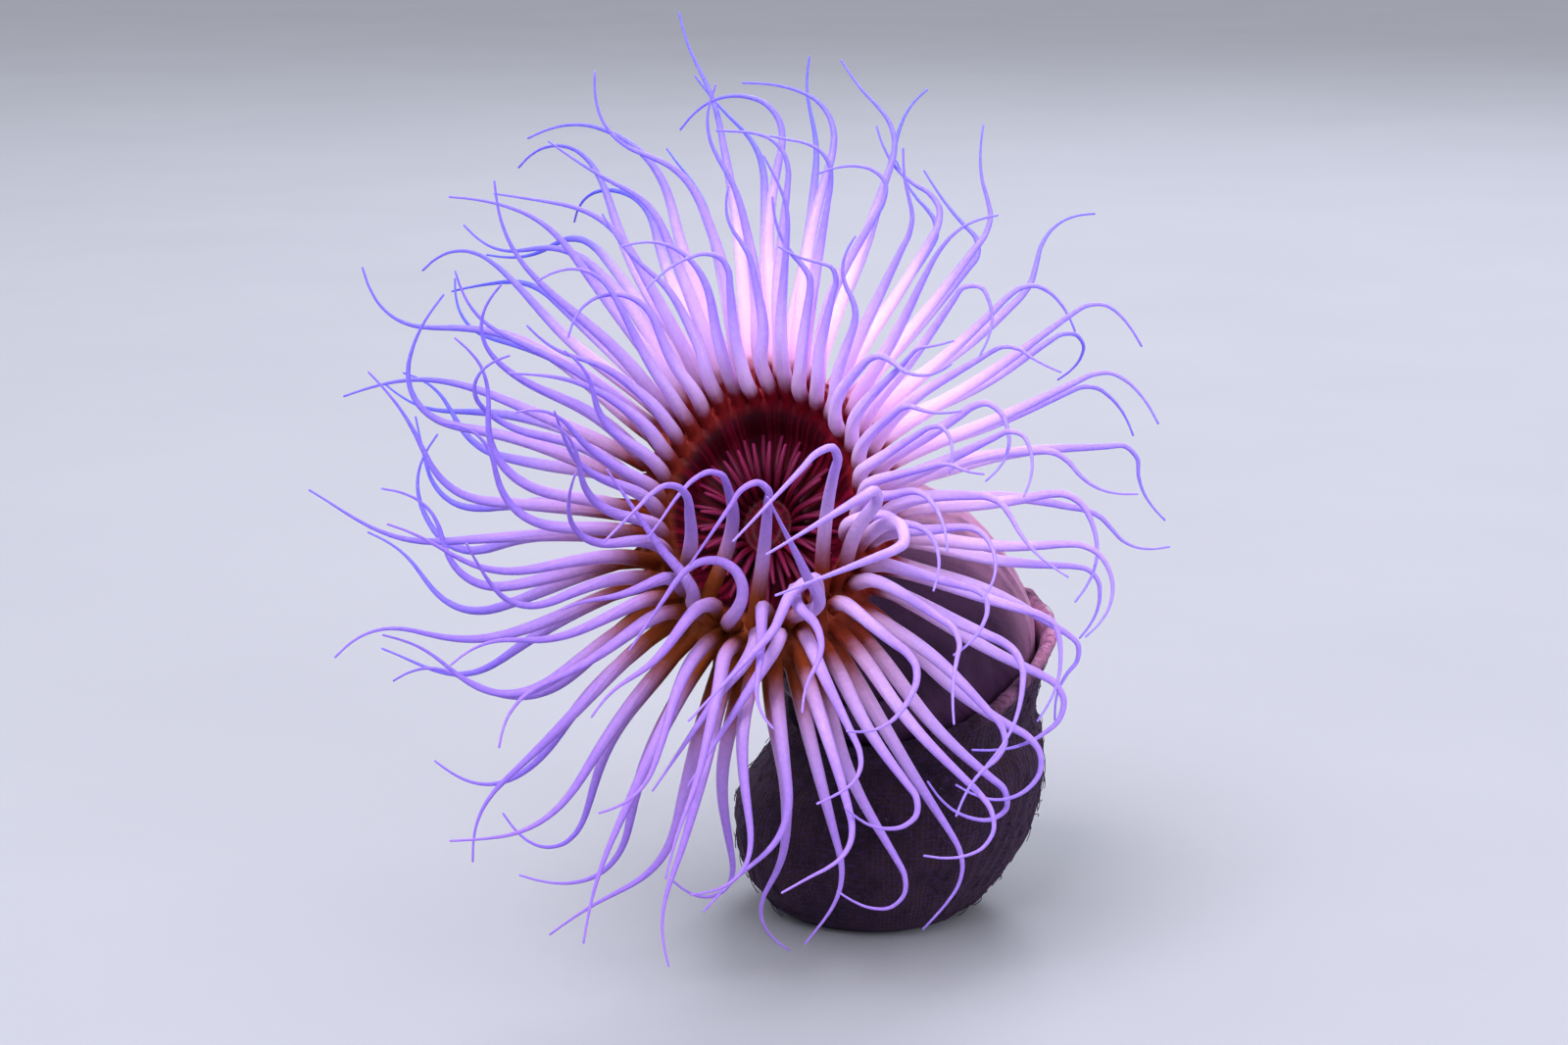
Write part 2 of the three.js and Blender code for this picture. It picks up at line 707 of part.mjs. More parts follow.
// The column, parted near the tube's mouth.
const column = columnSolid(0);
const parting = columnCurve.getPointAt(COLUMN.parting);
const way = columnCurve.getTangentAt(COLUMN.parting);
const level = parting.dot(way);
place("column_lower", column.trimByPlane(way.clone().negate().toArray(), -level), FINISH.column);
place("column_upper", column.trimByPlane(way.toArray(), level + GAP), FINISH.column);

place("oral_disc", discSolid(), FINISH.disc);
for (let group = 0; group < LABIAL.groups; group += 1) {
  place(`labial_${group + 1}`, labialSector(group), FINISH.labial);
}

// The marginal tentacles, two spokes and two cycles to a node, each on its own wedge of the lip.
const plans = tentaclePlans();
const lines = plans.map(grow);
clearOfEachOther(lines);
for (const half of ["inner", "outer"]) {
  for (let sector = 0; sector < TENTACLE.spokes / 2; sector += 1) {
    const name = `tentacles_${half}_${String(sector + 1).padStart(2, "0")}`;
    place(name, crownSector(half, sector, plans, lines), half === "inner" ? FINISH.inner : FINISH.tentacle);
  }
}

export default anemone;
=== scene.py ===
"""A tube anemone in its felt tube, life size: the skin of flesh, the felt, the floor, light and camera."""

import logging
import math
from dataclasses import dataclass, field
from enum import Enum
from functools import cached_property

import bpy
import numpy as np
from mathutils import Matrix, Vector, noise


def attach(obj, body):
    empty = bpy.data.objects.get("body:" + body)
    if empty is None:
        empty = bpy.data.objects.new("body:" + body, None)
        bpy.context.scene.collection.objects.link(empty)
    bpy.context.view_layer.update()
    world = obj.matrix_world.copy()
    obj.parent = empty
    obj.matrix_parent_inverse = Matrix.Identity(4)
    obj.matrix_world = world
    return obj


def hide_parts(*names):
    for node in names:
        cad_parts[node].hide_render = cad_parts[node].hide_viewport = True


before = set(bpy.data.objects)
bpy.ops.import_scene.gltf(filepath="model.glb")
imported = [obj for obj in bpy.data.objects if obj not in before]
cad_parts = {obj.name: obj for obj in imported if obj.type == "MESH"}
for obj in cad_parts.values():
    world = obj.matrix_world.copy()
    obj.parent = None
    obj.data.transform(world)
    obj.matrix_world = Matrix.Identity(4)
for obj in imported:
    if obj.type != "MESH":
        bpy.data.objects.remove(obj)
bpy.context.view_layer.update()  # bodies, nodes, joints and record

MM = 0.001
BODY = "root"
LOG = logging.getLogger("anemone")

Array = np.ndarray
Colour = tuple[float, float, float]


class Slot(Enum):
    """Names of the record's material slots."""

    FLESH = "tentacle_flesh"
    FELT = "felt"


# ---- Small helpers --------------------------------------------------------------------------------


def ease(t: Array | float) -> Array | float:
    """Smooth step from 0 to 1, held at both ends."""
    k = np.clip(t, 0.0, 1.0)
    return k * k * (3.0 - 2.0 * k)


def unit(v: Array) -> Array:
    """The vectors of an array at length one."""
    return v / np.maximum(np.linalg.norm(v, axis=-1, keepdims=True), 1e-12)


def dot(a: Array, b: Array) -> Array:
    """Row by row dot product."""
    return np.sum(a * b, axis=-1)


def turned(start: Array, end: Array, share: float) -> Array:
    """Turns one direction towards another.

    Args:
        start: The direction at share 0.
        end: The direction at share 1.
        share: How far the turn has gone.

    Returns:
        The direction in between.
    """
    angle = math.acos(float(np.clip(start @ end, -1.0, 1.0)))
    if angle < 1e-6:
        return start.copy()
    return (math.sin((1 - share) * angle) * start + math.sin(share * angle) * end) / math.sin(angle)


def through(knots: Array, places: Array) -> Array:
    """Samples a smooth line through evenly numbered knots.

    Args:
        knots: The points, or single values, in order.
        places: Where to sample, counted in knots.

    Returns:
        One sample for each place.
    """
    flat = np.asarray(knots, float)
    padded = np.concatenate([2 * flat[:1] - flat[1:2], flat, 2 * flat[-1:] - flat[-2:-1]])
    k = np.clip(np.floor(places).astype(int), 0, len(flat) - 2)
    t = (places - k).reshape((-1,) + (1,) * (flat.ndim - 1))
    p0, p1, p2, p3 = padded[k], padded[k + 1], padded[k + 2], padded[k + 3]
    bend = (2 * p0 - 5 * p1 + 4 * p2 - p3) * t**2
    return 0.5 * (2 * p1 + (p2 - p0) * t + bend + (3 * p1 - p0 - 3 * p2 + p3) * t**3)


def rough(point: Array, scale: float, depth: int) -> float:
    """Layered noise at a point in millimetres, about -1 to 1, for features of the given size."""
    return noise.fractal(Vector(point / scale), 1.0, 2.0, depth, noise_basis="PERLIN_ORIGINAL")


def added(name: str, data: bpy.types.ID) -> bpy.types.Object:
    """Makes an object at the origin and adds it to the scene.

    Args:
        name: The object's name.
        data: Its mesh, light or camera.

    Returns:
        The object.
    """
    thing = bpy.data.objects.new(name, data)
    bpy.context.scene.collection.objects.link(thing)
    return thing


@dataclass
class Stream:
    """A seeded stream of even numbers between -1 and 1."""

    state: int

    def next(self) -> float:
        """The next number."""
        self.state = (self.state * 1664525 + 1013904223) % 4294967296
        return 2 * self.state / 4294967296 - 1


# ---- Centre lines ---------------------------------------------------------------------------------


@dataclass(frozen=True)
class Crown:
    """The crown's place, its directions and the ring-shaped lip round the disc. Millimetres and degrees."""

    centre: tuple[float, float, float] = (-27.5, -50.0, 114.5)
    rise: float = 34.0
    turn: float = 8.0
    across: float = 0.86
    tall: float = 1.06
    lip_ring: float = 29.0
    lip_round: float = 7.0
    lip_depth: float = 9.0

    @cached_property
    def axis(self) -> Array:
        """Direction out of the mouth."""
        rise, turn = math.radians(self.rise), math.radians(self.turn)
        return np.array([-math.sin(turn) * math.cos(rise), -math.cos(turn) * math.cos(rise), math.sin(rise)])

    @cached_property
    def side(self) -> Array:
        """Direction to three o'clock."""
        turn = math.radians(self.turn)
        return np.array([math.cos(turn), -math.sin(turn), 0.0])

    @cached_property
    def up(self) -> Array:
        """Direction to twelve o'clock."""
        return np.cross(self.axis, self.side)

    def outward(self, angle: float) -> Array:
        """Direction from the axis to a clock angle in radians."""
        return self.side * math.cos(angle) + self.up * math.sin(angle)

    def point(self, angle: float, radius: float, height: float) -> Array:
        """The point at a clock angle, a radius and a height, on rings narrower across than up.

        Args:
            angle: The clock angle in radians.
            radius: How far from the axis.
            height: How far out of the mouth.

        Returns:
            The point.
        """
        across = self.across * radius * math.cos(angle)
        tall = self.tall * radius * math.sin(angle)
        return np.array(self.centre) + across * self.side + tall * self.up + height * self.axis


@dataclass(frozen=True)
class Fold:
    """A tentacle that folds over the disc or hangs in front of it, in place of the drawn one."""

    spoke: int
    cycle: int
    lift: float
    arched: float
    lean: float
    length: float
    turn: float
    hook: float
    span: float
    dip: float = 0.0


@dataclass
class Plan:
    """How one tentacle grows: its angle, its start and end lift, its hook with the current and its curl."""

    spoke: int
    cycle: int
    angle: float
    lift: float
    arched: float
    length: float
    turn: float
    hook: float
    span: float
    wave: float
    curl: float
    dip: float = 0.0
    lean: float = 0.0


@dataclass(frozen=True)
class Spread:
    """How far tentacles differ from their cycle's rule, either way."""

    side: float = 1.2
    lift: float = 6.0
    arched: float = 9.0
    length: float = 0.1
    turn: float = 32.0
    hook: float = 0.09
    span: float = 0.3
    wave: float = 12.0
    curl: float = 70.0


@dataclass(frozen=True)
class TentacleRule:
    """The rule that the marginal tentacles grow by. Cycles run from the inmost to the outmost.

    The hourly tables give one value for each hour, from three o'clock anticlockwise.
    """

    spokes: int = 36
    stagger: float = 0.12
    base_radius: float = 2.0
    tip_radius: float = 0.28
    fullness: float = 1.8
    taper: float = 1.8
    root_depth: float = 5.6
    lengths: tuple[float, ...] = (76, 90, 99, 103)
    lifts: tuple[float, ...] = (94, 66, 28, -6)
    arches: tuple[float, ...] = (46, 34, 20, 8)
    arch_start: float = 0.04
    arch_span: float = 0.51
    waves: float = 1.1
    wave_start: float = 0.1
    wave_growth: float = 3.0
    curl_start: float = 0.7
    steps: int = 18
    seed: int = 20261
    spread: Spread = Spread()
    sharpness: float = 3.0
    clock_turn: tuple[float, ...] = (-88, -74, 85, 60, 55, 10, -75, -70, -25, -35, -75, -95)
    clock_reach: tuple[float, ...] = (0.74, 0.77, 0.87, 0.97, 0.96, 0.88, 0.82, 0.8, 0.78, 0.8, 0.82, 0.77)
    clock_hook: tuple[float, ...] = (0.72, 0.76, 0.72, 0.74, 0.68, 0.66, 0.66, 0.68, 0.7, 0.72, 0.7, 0.7)
    clock_span: tuple[float, ...] = (0.08, 0.08, 0.09, 0.11, 0.14, 0.18, 0.22, 0.22, 0.2, 0.18, 0.12, 0.09)
    clock_droop: tuple[float, ...] = (8, 0, 0, 0, 0, 0, 4, 12, 22, 30, 24, 14)
    folds: tuple[Fold, ...] = (
        Fold(22, 0, 93, 80, -22, 99, 118, 0.69, 0.11),
        Fold(24, 0, 136, 89, -2, 82, 129, 0.7, 0.1, -19),
        Fold(26, 0, 61, 142, -31, 70, 184, 0.52, 0.24),
        Fold(27, 0, 125, 103, -11, 75, 150, 0.66, 0.09, -31),
        Fold(29, 0, 77, 100, -35, 74, 43, 0.42, 0.21),
        Fold(31, 0, 109, 93, -23, 110, 136, 0.61, 0.07),
        Fold(32, 0, 101, 99, -40, 110, 102, 0.43, 0.06, 21),
        Fold(33, 0, 100, 49, -38, 110, -163, 0.42, 0.08),
        Fold(24, 1, 104, 140, -57, 55, 106, 0.1, 0.12),
        Fold(27, 1, 78, 66, 4, 58, -34, 0.25, 0.08, 85),
        Fold(28, 1, 72, 66, 0, 56, -32, 0.27, 0.08, 85),
        Fold(30, 1, 92, 92, -10, 72, -30, 0.33, 0.08, 90),
    )

    @staticmethod
    def at_clock(table: tuple[float, ...], angle: float, sharpness: float = 1.0) -> float:
        """The value of an hourly table at a clock angle, eased from one hour to the next.

        Args:
            table: One value for each hour.
            angle: The clock angle in radians.
            sharpness: Above 1, the value changes quickly half way between two hours.

        Returns:
            The value there.
        """
        place = (angle / (2 * math.pi)) % 1 * len(table)
        hour = int(place) % len(table)
        share = ease((place - int(place) - 0.5) * sharpness + 0.5)
        return table[hour] * (1 - share) + table[(hour + 1) % len(table)] * share

    def thickness(self, s: Array | float) -> Array | float:
        """A tentacle's radius at a share of its length: stout for half of it, then drawn out thin."""
        return self.tip_radius + (self.base_radius - self.tip_radius) * (1 - s**self.fullness) ** self.taper

    def plans(self) -> list[Plan]:
        """Draws every tentacle.

        Returns:
            The plans, spoke by spoke and cycle by cycle.
        """
        stream, spread = Stream(self.seed), self.spread
        drawn = []
        for spoke in range(self.spokes):
            for cycle in range(len(self.lengths)):
                side, lift, arched, length, turn, hook, span, wave = (stream.next() for _ in range(8))
                place = spoke + 0.5 * (cycle % 2) + self.stagger * (cycle // 2)
                clock = 2 * math.pi * place / self.spokes
                droop = self.at_clock(self.clock_droop, clock)
                reach = self.lengths[cycle] * self.at_clock(self.clock_reach, clock)
                plan = Plan(
                    spoke=spoke,
                    cycle=cycle,
                    angle=clock + math.radians(spread.side * side),
                    lift=self.lifts[cycle] + spread.lift * lift,
                    arched=self.lifts[cycle] - self.arches[cycle] - droop + spread.arched * arched,
                    length=reach * (1 + spread.length * length),
                    turn=self.at_clock(self.clock_turn, clock, self.sharpness) + spread.turn * turn,
                    hook=self.at_clock(self.clock_hook, clock) + spread.hook * hook,
                    span=self.at_clock(self.clock_span, clock) * (1 + spread.span * span),
                    wave=spread.wave * wave,
                    curl=spread.curl * wave,
                )
                for fold in self.folds:
                    if (fold.spoke, fold.cycle) == (spoke, cycle):
                        plan = Plan(angle=plan.angle, wave=0.0, curl=0.0, **vars(fold))
                drawn.append(plan)
        return drawn

    def grow(self, plan: Plan, crown: Crown) -> Array:
        """Grows one centre line: it arches away from the crown's axis, then hooks over.

        Args:
            plan: The tentacle's plan.
            crown: The crown it grows from.

        Returns:
            The line's points, root first.
        """
        out = crown.outward(plan.angle)

        def heading(lift: float) -> Array:
            """Direction at a lift above the plane of the disc."""
            return out * math.cos(math.radians(lift)) + crown.axis * math.sin(math.radians(lift))

        root = math.radians(self.lifts[plan.cycle])
        radius = crown.lip_ring + self.root_depth * math.cos(root)
        points = [crown.point(plan.angle, radius, self.root_depth * math.sin(root))]
        for k in range(self.steps):
            s = (k + 0.5) / self.steps
            hooking = ease((s - plan.hook + plan.span) / (2 * plan.span))
            waving = math.sin(2 * math.pi * (self.waves * s + self.wave_start)) * ease(self.wave_growth * s)
            arching = ease((s - self.arch_start) / self.arch_span)
            way = turned(heading(plan.lift), heading(plan.arched), arching)
            tip = math.radians(plan.dip * hooking)
            x, y, z = way
            y, z = y * math.cos(tip) - z * math.sin(tip), y * math.sin(tip) + z * math.cos(tip)
            curling = ease((s - self.curl_start) / (1 - self.curl_start))
            sweep = math.radians(plan.lean + plan.turn * hooking + plan.wave * waving + plan.curl * curling)
            x, z = x * math.cos(sweep) - z * math.sin(sweep), x * math.sin(sweep) + z * math.cos(sweep)
            points.append(points[-1] + np.array([x, y, z]) * plan.length / self.steps)
        return np.array(points)


@dataclass(frozen=True)
class Clearance:
    """Eases crossing tentacles apart, a little each round, without moving their roots. Millimetres."""

    rounds: int = 30
    gap: float = 0.85
    swell: float = 1.2
    rooted: int = 2
    freeing: float = 3.0
    gain: float = 1.6
    share: float = 0.45
    margin: float = 1.0

    @staticmethod
    def nearest(p1: Array, q1: Array, p2: Array, q2: Array) -> tuple[Array, Array]:
        """Nearest points of many pairs of short lengths, as shares along each.

        Args:
            p1: Starts of the first lengths.
            q1: Ends of the first lengths.
            p2: Starts of the second lengths.
            q2: Ends of the second lengths.

        Returns:
            The share along the first and along the second of each pair.
        """
        d1, d2, r = q1 - p1, q2 - p2, p1 - p2
        a, e, b, c, f = dot(d1, d1), dot(d2, d2), dot(d1, d2), dot(d1, r), dot(d2, r)
        across = a * e - b * b
        safe = np.where(across > 1e-9, across, 1.0)
        s = np.where(across > 1e-9, np.clip((b * f - c * e) / safe, 0, 1), 0.5)
        free = (b * s + f) / e
        t = np.clip(free, 0, 1)
        return np.where(t != free, np.clip((b * t - c) / a, 0, 1), s), t

    def settle(self, lines: Array, radii: Array) -> Array:
        """Moves the lines apart.

        Args:
            lines: Centre lines, as line, point and coordinate.
            radii: The radius at each point of a line.

        Returns:
            The lines, clear of each other.
        """
        count, steps = lines.shape[0], lines.shape[1] - 1
        line, place = np.repeat(np.arange(count), steps), np.tile(np.arange(steps), count)
        for _ in range(self.rounds):
            start, end = lines[:, :-1].reshape(-1, 3), lines[:, 1:].reshape(-1, 3)
            middle = 0.5 * (start + end)
            half = np.repeat(np.linalg.norm(lines[:, 1] - lines[:, 0], axis=1) / 2, steps)
            square = dot(middle, middle)
            apart = square[:, None] + square[None] - 2 * middle @ middle.T
            reach = half[:, None] + half[None] + 2 * self.swell * radii[0] + self.gap + self.margin
            near = (apart <= reach**2) & (line[:, None] < line[None])
            near &= ~((place[:, None] < self.rooted) & (place[None] < self.rooted))
            i, j = np.nonzero(near)
            s, t = self.nearest(start[i], end[i], start[j], end[j])
            here = start[i] + s[:, None] * (end[i] - start[i])
            there = start[j] + t[:, None] * (end[j] - start[j])
            m, n = place[i], place[j]
            rounds = radii[m] * (1 - s) + radii[m + 1] * s + radii[n] * (1 - t) + radii[n + 1] * t
            distance = np.linalg.norm(here - there, axis=1)
            short = self.swell * rounds + self.gap - distance
            hit = short > 0
            push = unit(here - there) * (short * self.share)[:, None]
            moves, weights = np.zeros_like(lines), np.zeros(lines.shape[:2])
            for owner, first, along, sign in ((line[i], m, s, 1.0), (line[j], n, t, -1.0)):
                for step, part in ((0, 1 - along), (1, along)):
                    np.add.at(moves, (owner[hit], first[hit] + step), sign * (push * part[:, None])[hit])
                    np.add.at(weights, (owner[hit], first[hit] + step), part[hit])
            freedom = np.clip((np.arange(steps + 1) - self.rooted) / self.freeing, 0, 1)
            moves *= (freedom / np.maximum(1, weights))[..., None]
            for _ in range(2):
                smooth = moves.copy()
                smooth[:, 1:-1] = 0.25 * (moves[:, :-2] + moves[:, 2:]) + 0.5 * moves[:, 1:-1]
                smooth[:, -1] = 0.5 * (moves[:, -1] + moves[:, -2])
                moves = smooth
            lines = lines + self.gain * moves
        return lines


@dataclass
class Strand:
    """One line to sweep flesh along, root first, with the ring of the skin that it grows out of."""

    points: Array
    radii: Array
    along: Array
    row: int
    column: int
    warm: float = 0.0
    cool: float = 0.0
    fringe: float = 0.0
    disc: float = 0.0


# ---- Building the skin ----------------------------------------------------------------------------


class GeometryBoard:
    """A geometry node tree, with short ways to add, set and join its nodes."""

    def __init__(self, name: str) -> None:
        """Starts a tree that takes and gives geometry.

        Args:
            name: The tree's name.
        """
        self.tree = bpy.data.node_groups.new(name, "GeometryNodeTree")
        self.tree.interface.new_socket("Geometry", in_out="INPUT", socket_type="NodeSocketGeometry")
        self.tree.interface.new_socket("Geometry", in_out="OUTPUT", socket_type="NodeSocketGeometry")
        self.start = self.tree.nodes.new("NodeGroupInput")
        self.end = self.tree.nodes.new("NodeGroupOutput")

    def size(self, name: str, kind: str = "NodeSocketFloat") -> bpy.types.NodeSocket:
        """Adds a named input and returns its socket inside the tree."""
        self.tree.interface.new_socket(name, in_out="INPUT", socket_type=kind)
        return self.start.outputs[name]

    def add(self, kind: str, links: dict | None = None, **settings: object) -> bpy.types.Node:
        """Adds a node.

        Args:
            kind: The node's type, without its first word.
            links: Values or sockets for its inputs, by name or number.
            settings: The node's own properties.

        Returns:
            The node.
        """
        node = self.tree.nodes.new(kind)
        for name, value in settings.items():
            setattr(node, name, value)
        for key, value in (links or {}).items():
            if isinstance(value, bpy.types.NodeSocket):
                self.tree.links.new(value, node.inputs[key])
            else:
                node.inputs[key].default_value = value
        return node

    def finish(self, geometry: bpy.types.NodeSocket, material: bpy.types.Material) -> None:
        """Realizes the result, gives it its material and ends the tree.

        Args:
            geometry: The result.
            material: Its finish.
        """
        real = self.add("GeometryNodeRealizeInstances", {"Geometry": geometry})
        dressed = self.add("GeometryNodeSetMaterial", {"Geometry": real.outputs[0], "Material": material})
        self.tree.links.new(dressed.outputs[0], self.end.inputs[0])

    def run(self, source: bpy.types.Mesh, sizes: dict[str, object]) -> bpy.types.Mesh:
        """Runs the tree on a mesh.

        Args:
            source: The mesh that goes in.
            sizes: Values for the named inputs.

        Returns:
            A plain mesh of the result.
        """
        carrier = added(source.name, source)
        modifier = carrier.modifiers.new("nodes", "NODES")
        modifier.node_group = self.tree
        for item in self.tree.interface.items_tree:
            if item.name in sizes:
                modifier[item.identifier] = sizes[item.name]
        graph = bpy.context.evaluated_depsgraph_get()
        made = bpy.data.meshes.new_from_object(carrier.evaluated_get(graph), depsgraph=graph)
        carrier.modifiers.remove(modifier)
        bpy.data.objects.remove(carrier)
        return made


@dataclass(frozen=True)
class Sweep:
    """Sweeps flesh along strands with geometry nodes: round tubes, open at the root."""

    sides: int = 8

    def tree(self, material: bpy.types.Material) -> GeometryBoard:
        """Builds the sweeping tree.

        Args:
            material: The flesh.

        Returns:
            The tree, which takes lines with their attributes.
        """
        board = GeometryBoard("flesh_along_strands")
        sides = board.size("Sides", "NodeSocketInt")
        normal = board.add("GeometryNodeInputNamedAttribute", {"Name": "across"}, data_type="FLOAT_VECTOR")
        radius = board.add("GeometryNodeInputNamedAttribute", {"Name": "round"}, data_type="FLOAT")
        lines = board.add("GeometryNodeMeshToCurve", {"Mesh": board.start.outputs["Geometry"]})
        faced = board.add("GeometryNodeSetCurveNormal", {"Curve": lines.outputs[0]}, mode="FREE")
        board.tree.links.new(normal.outputs[0], faced.inputs["Normal"])
        round_one = {"Resolution": sides, "Radius": 1.0}
        ring = board.add("GeometryNodeCurvePrimitiveCircle", round_one, mode="RADIUS")
        curves = {"Curve": faced.outputs[0], "Profile Curve": ring.outputs["Curve"]}
        swept = board.add("GeometryNodeCurveToMesh", {**curves, "Scale": radius.outputs[0]})
        board.finish(swept.outputs[0], material)
        return board


@dataclass(frozen=True)
class Labials:
    """The short dark tentacles that lie over the disc, in two cycles. Lengths in millimetres."""

    count: int = 48
    rings: tuple[float, float] = (7.75, 9.05)
    height: float = -3.3
    length: float = 16.0
    wide: tuple[float, float] = (0.12, 0.24)
    high: tuple[float, float] = (0.8, 0.56)
    base_radius: float = 0.86
    tip_radius: float = 0.45
    evenness: float = 2.5
    start: float = 0.03
    flare: float = 0.5
    sag: float = 0.34
    collar: float = 0.6
    stations: int = 14

    def radii(self) -> Array:
        """How thick one is at each of its stations: even for most of its length, then thinner."""
        shares = np.linspace(0.0, 1.0, self.stations)
        return self.base_radius + (self.tip_radius - self.base_radius) * shares**self.evenness

    def line(self, index: int, crown: Crown) -> Array:
        """One centre line, arching from beside the mouth out over the disc.

        Args:
            index: Which tentacle, from three o'clock.
            crown: The crown it grows from.

        Returns:
            The line's points, root first.
        """
        angle, cycle = 2 * math.pi * index / self.count, index % 2
        points = []
        for s in np.linspace(self.start, 1.0, self.stations):
            radius = self.rings[cycle] + self.length * (self.wide[cycle] + self.flare * s) * s
            height = self.height + self.length * (self.high[cycle] - self.sag * s) * s
            points.append(crown.point(angle, radius, height))
        return np.array(points)


@dataclass(frozen=True)
class Column:
    """The column: its spine, its radii from the foot to the crown, and its rows. Millimetres."""

    spine: tuple[tuple[float, float, float], ...] = ((2, 3, 11), (6, 2, 34), (10.5, 0, 57), (4, -6, 82))
    radii: tuple[float, ...] = (5, 17, 23, 27, 31.5, 34, 33.5, 31, 29, 28.5, 30.5, 34.3)
    neck: float = 24.0
    gap: float = 0.3
    inset: float = 0.25
    oval: float = 0.7
    rows: int = 38
    fineness: int = 200
    samples: int = 240

    def spine_points(self, crown: Crown) -> Array:
        """The spine's knots, ending square to the back of the crown.

        Args:
            crown: The crown that the spine ends at.

        Returns:
            The knots, foot first.
        """
        centre = np.array(crown.centre)
        ends = [centre - self.neck * crown.axis, centre - (crown.lip_depth + self.gap) * crown.axis]
        return np.array([*self.spine, *ends], float)

    def line(self, crown: Crown) -> tuple[Array, Array]:
        """Samples the spine evenly along its length.

        Args:
            crown: The crown that the spine ends at.

        Returns:
            The points and the directions along the line, foot first.
        """
        knots = self.spine_points(crown)
        padded = np.vstack([2 * knots[0] - knots[1], knots, 2 * knots[-1] - knots[-2]])
        dense = []
        for k in range(len(knots) - 1):
            x0, x1, x2, x3 = padded[k : k + 4]
            d0, d1, d2 = (math.sqrt(np.linalg.norm(b - a)) for a, b in ((x0, x1), (x1, x2), (x2, x3)))
            t1 = ((x1 - x0) / d0 - (x2 - x0) / (d0 + d1) + (x2 - x1) / d1) * d1
            t2 = ((x2 - x1) / d1 - (x3 - x1) / (d1 + d2) + (x3 - x2) / d2) * d1
            bend, twist = 3 * (x2 - x1) - 2 * t1 - t2, 2 * (x1 - x2) + t1 + t2
            for t in np.linspace(0, 1, self.fineness, endpoint=False):
                dense.append(x1 + t1 * t + bend * t**2 + twist * t**3)
        dense = np.array([*dense, knots[-1]])
        run = np.concatenate([[0], np.cumsum(np.linalg.norm(np.diff(dense, axis=0), axis=1))])
        want = np.linspace(0, run[-1], self.samples + 1)
        points = np.stack([np.interp(want, run, dense[:, i]) for i in range(3)], axis=1)
        return points, unit(np.gradient(points, axis=0))

    def radius(self, t: Array | float) -> Array:
        """The column's radius at a share of its length."""
        return through(np.array(self.radii, float), np.atleast_1d(t) * (len(self.radii) - 1))

    def squeeze(self, t: float, angles: Array, crown: Crown) -> Array:
        """How much of its radius the column has at each angle: it turns oval where it meets the crown.

        Args:
            t: The share of the column's length.
            angles: Angles round it in radians.
            crown: The crown it meets.

        Returns:
            The share of the radius at each angle.
        """
        oval = ease((t - self.oval) / (1 - self.oval))
        across, tall = 1 + oval * (crown.across - 1), 1 + oval * (crown.tall - 1)
        return 1 / np.hypot(np.cos(angles) / across, np.sin(angles) / tall)


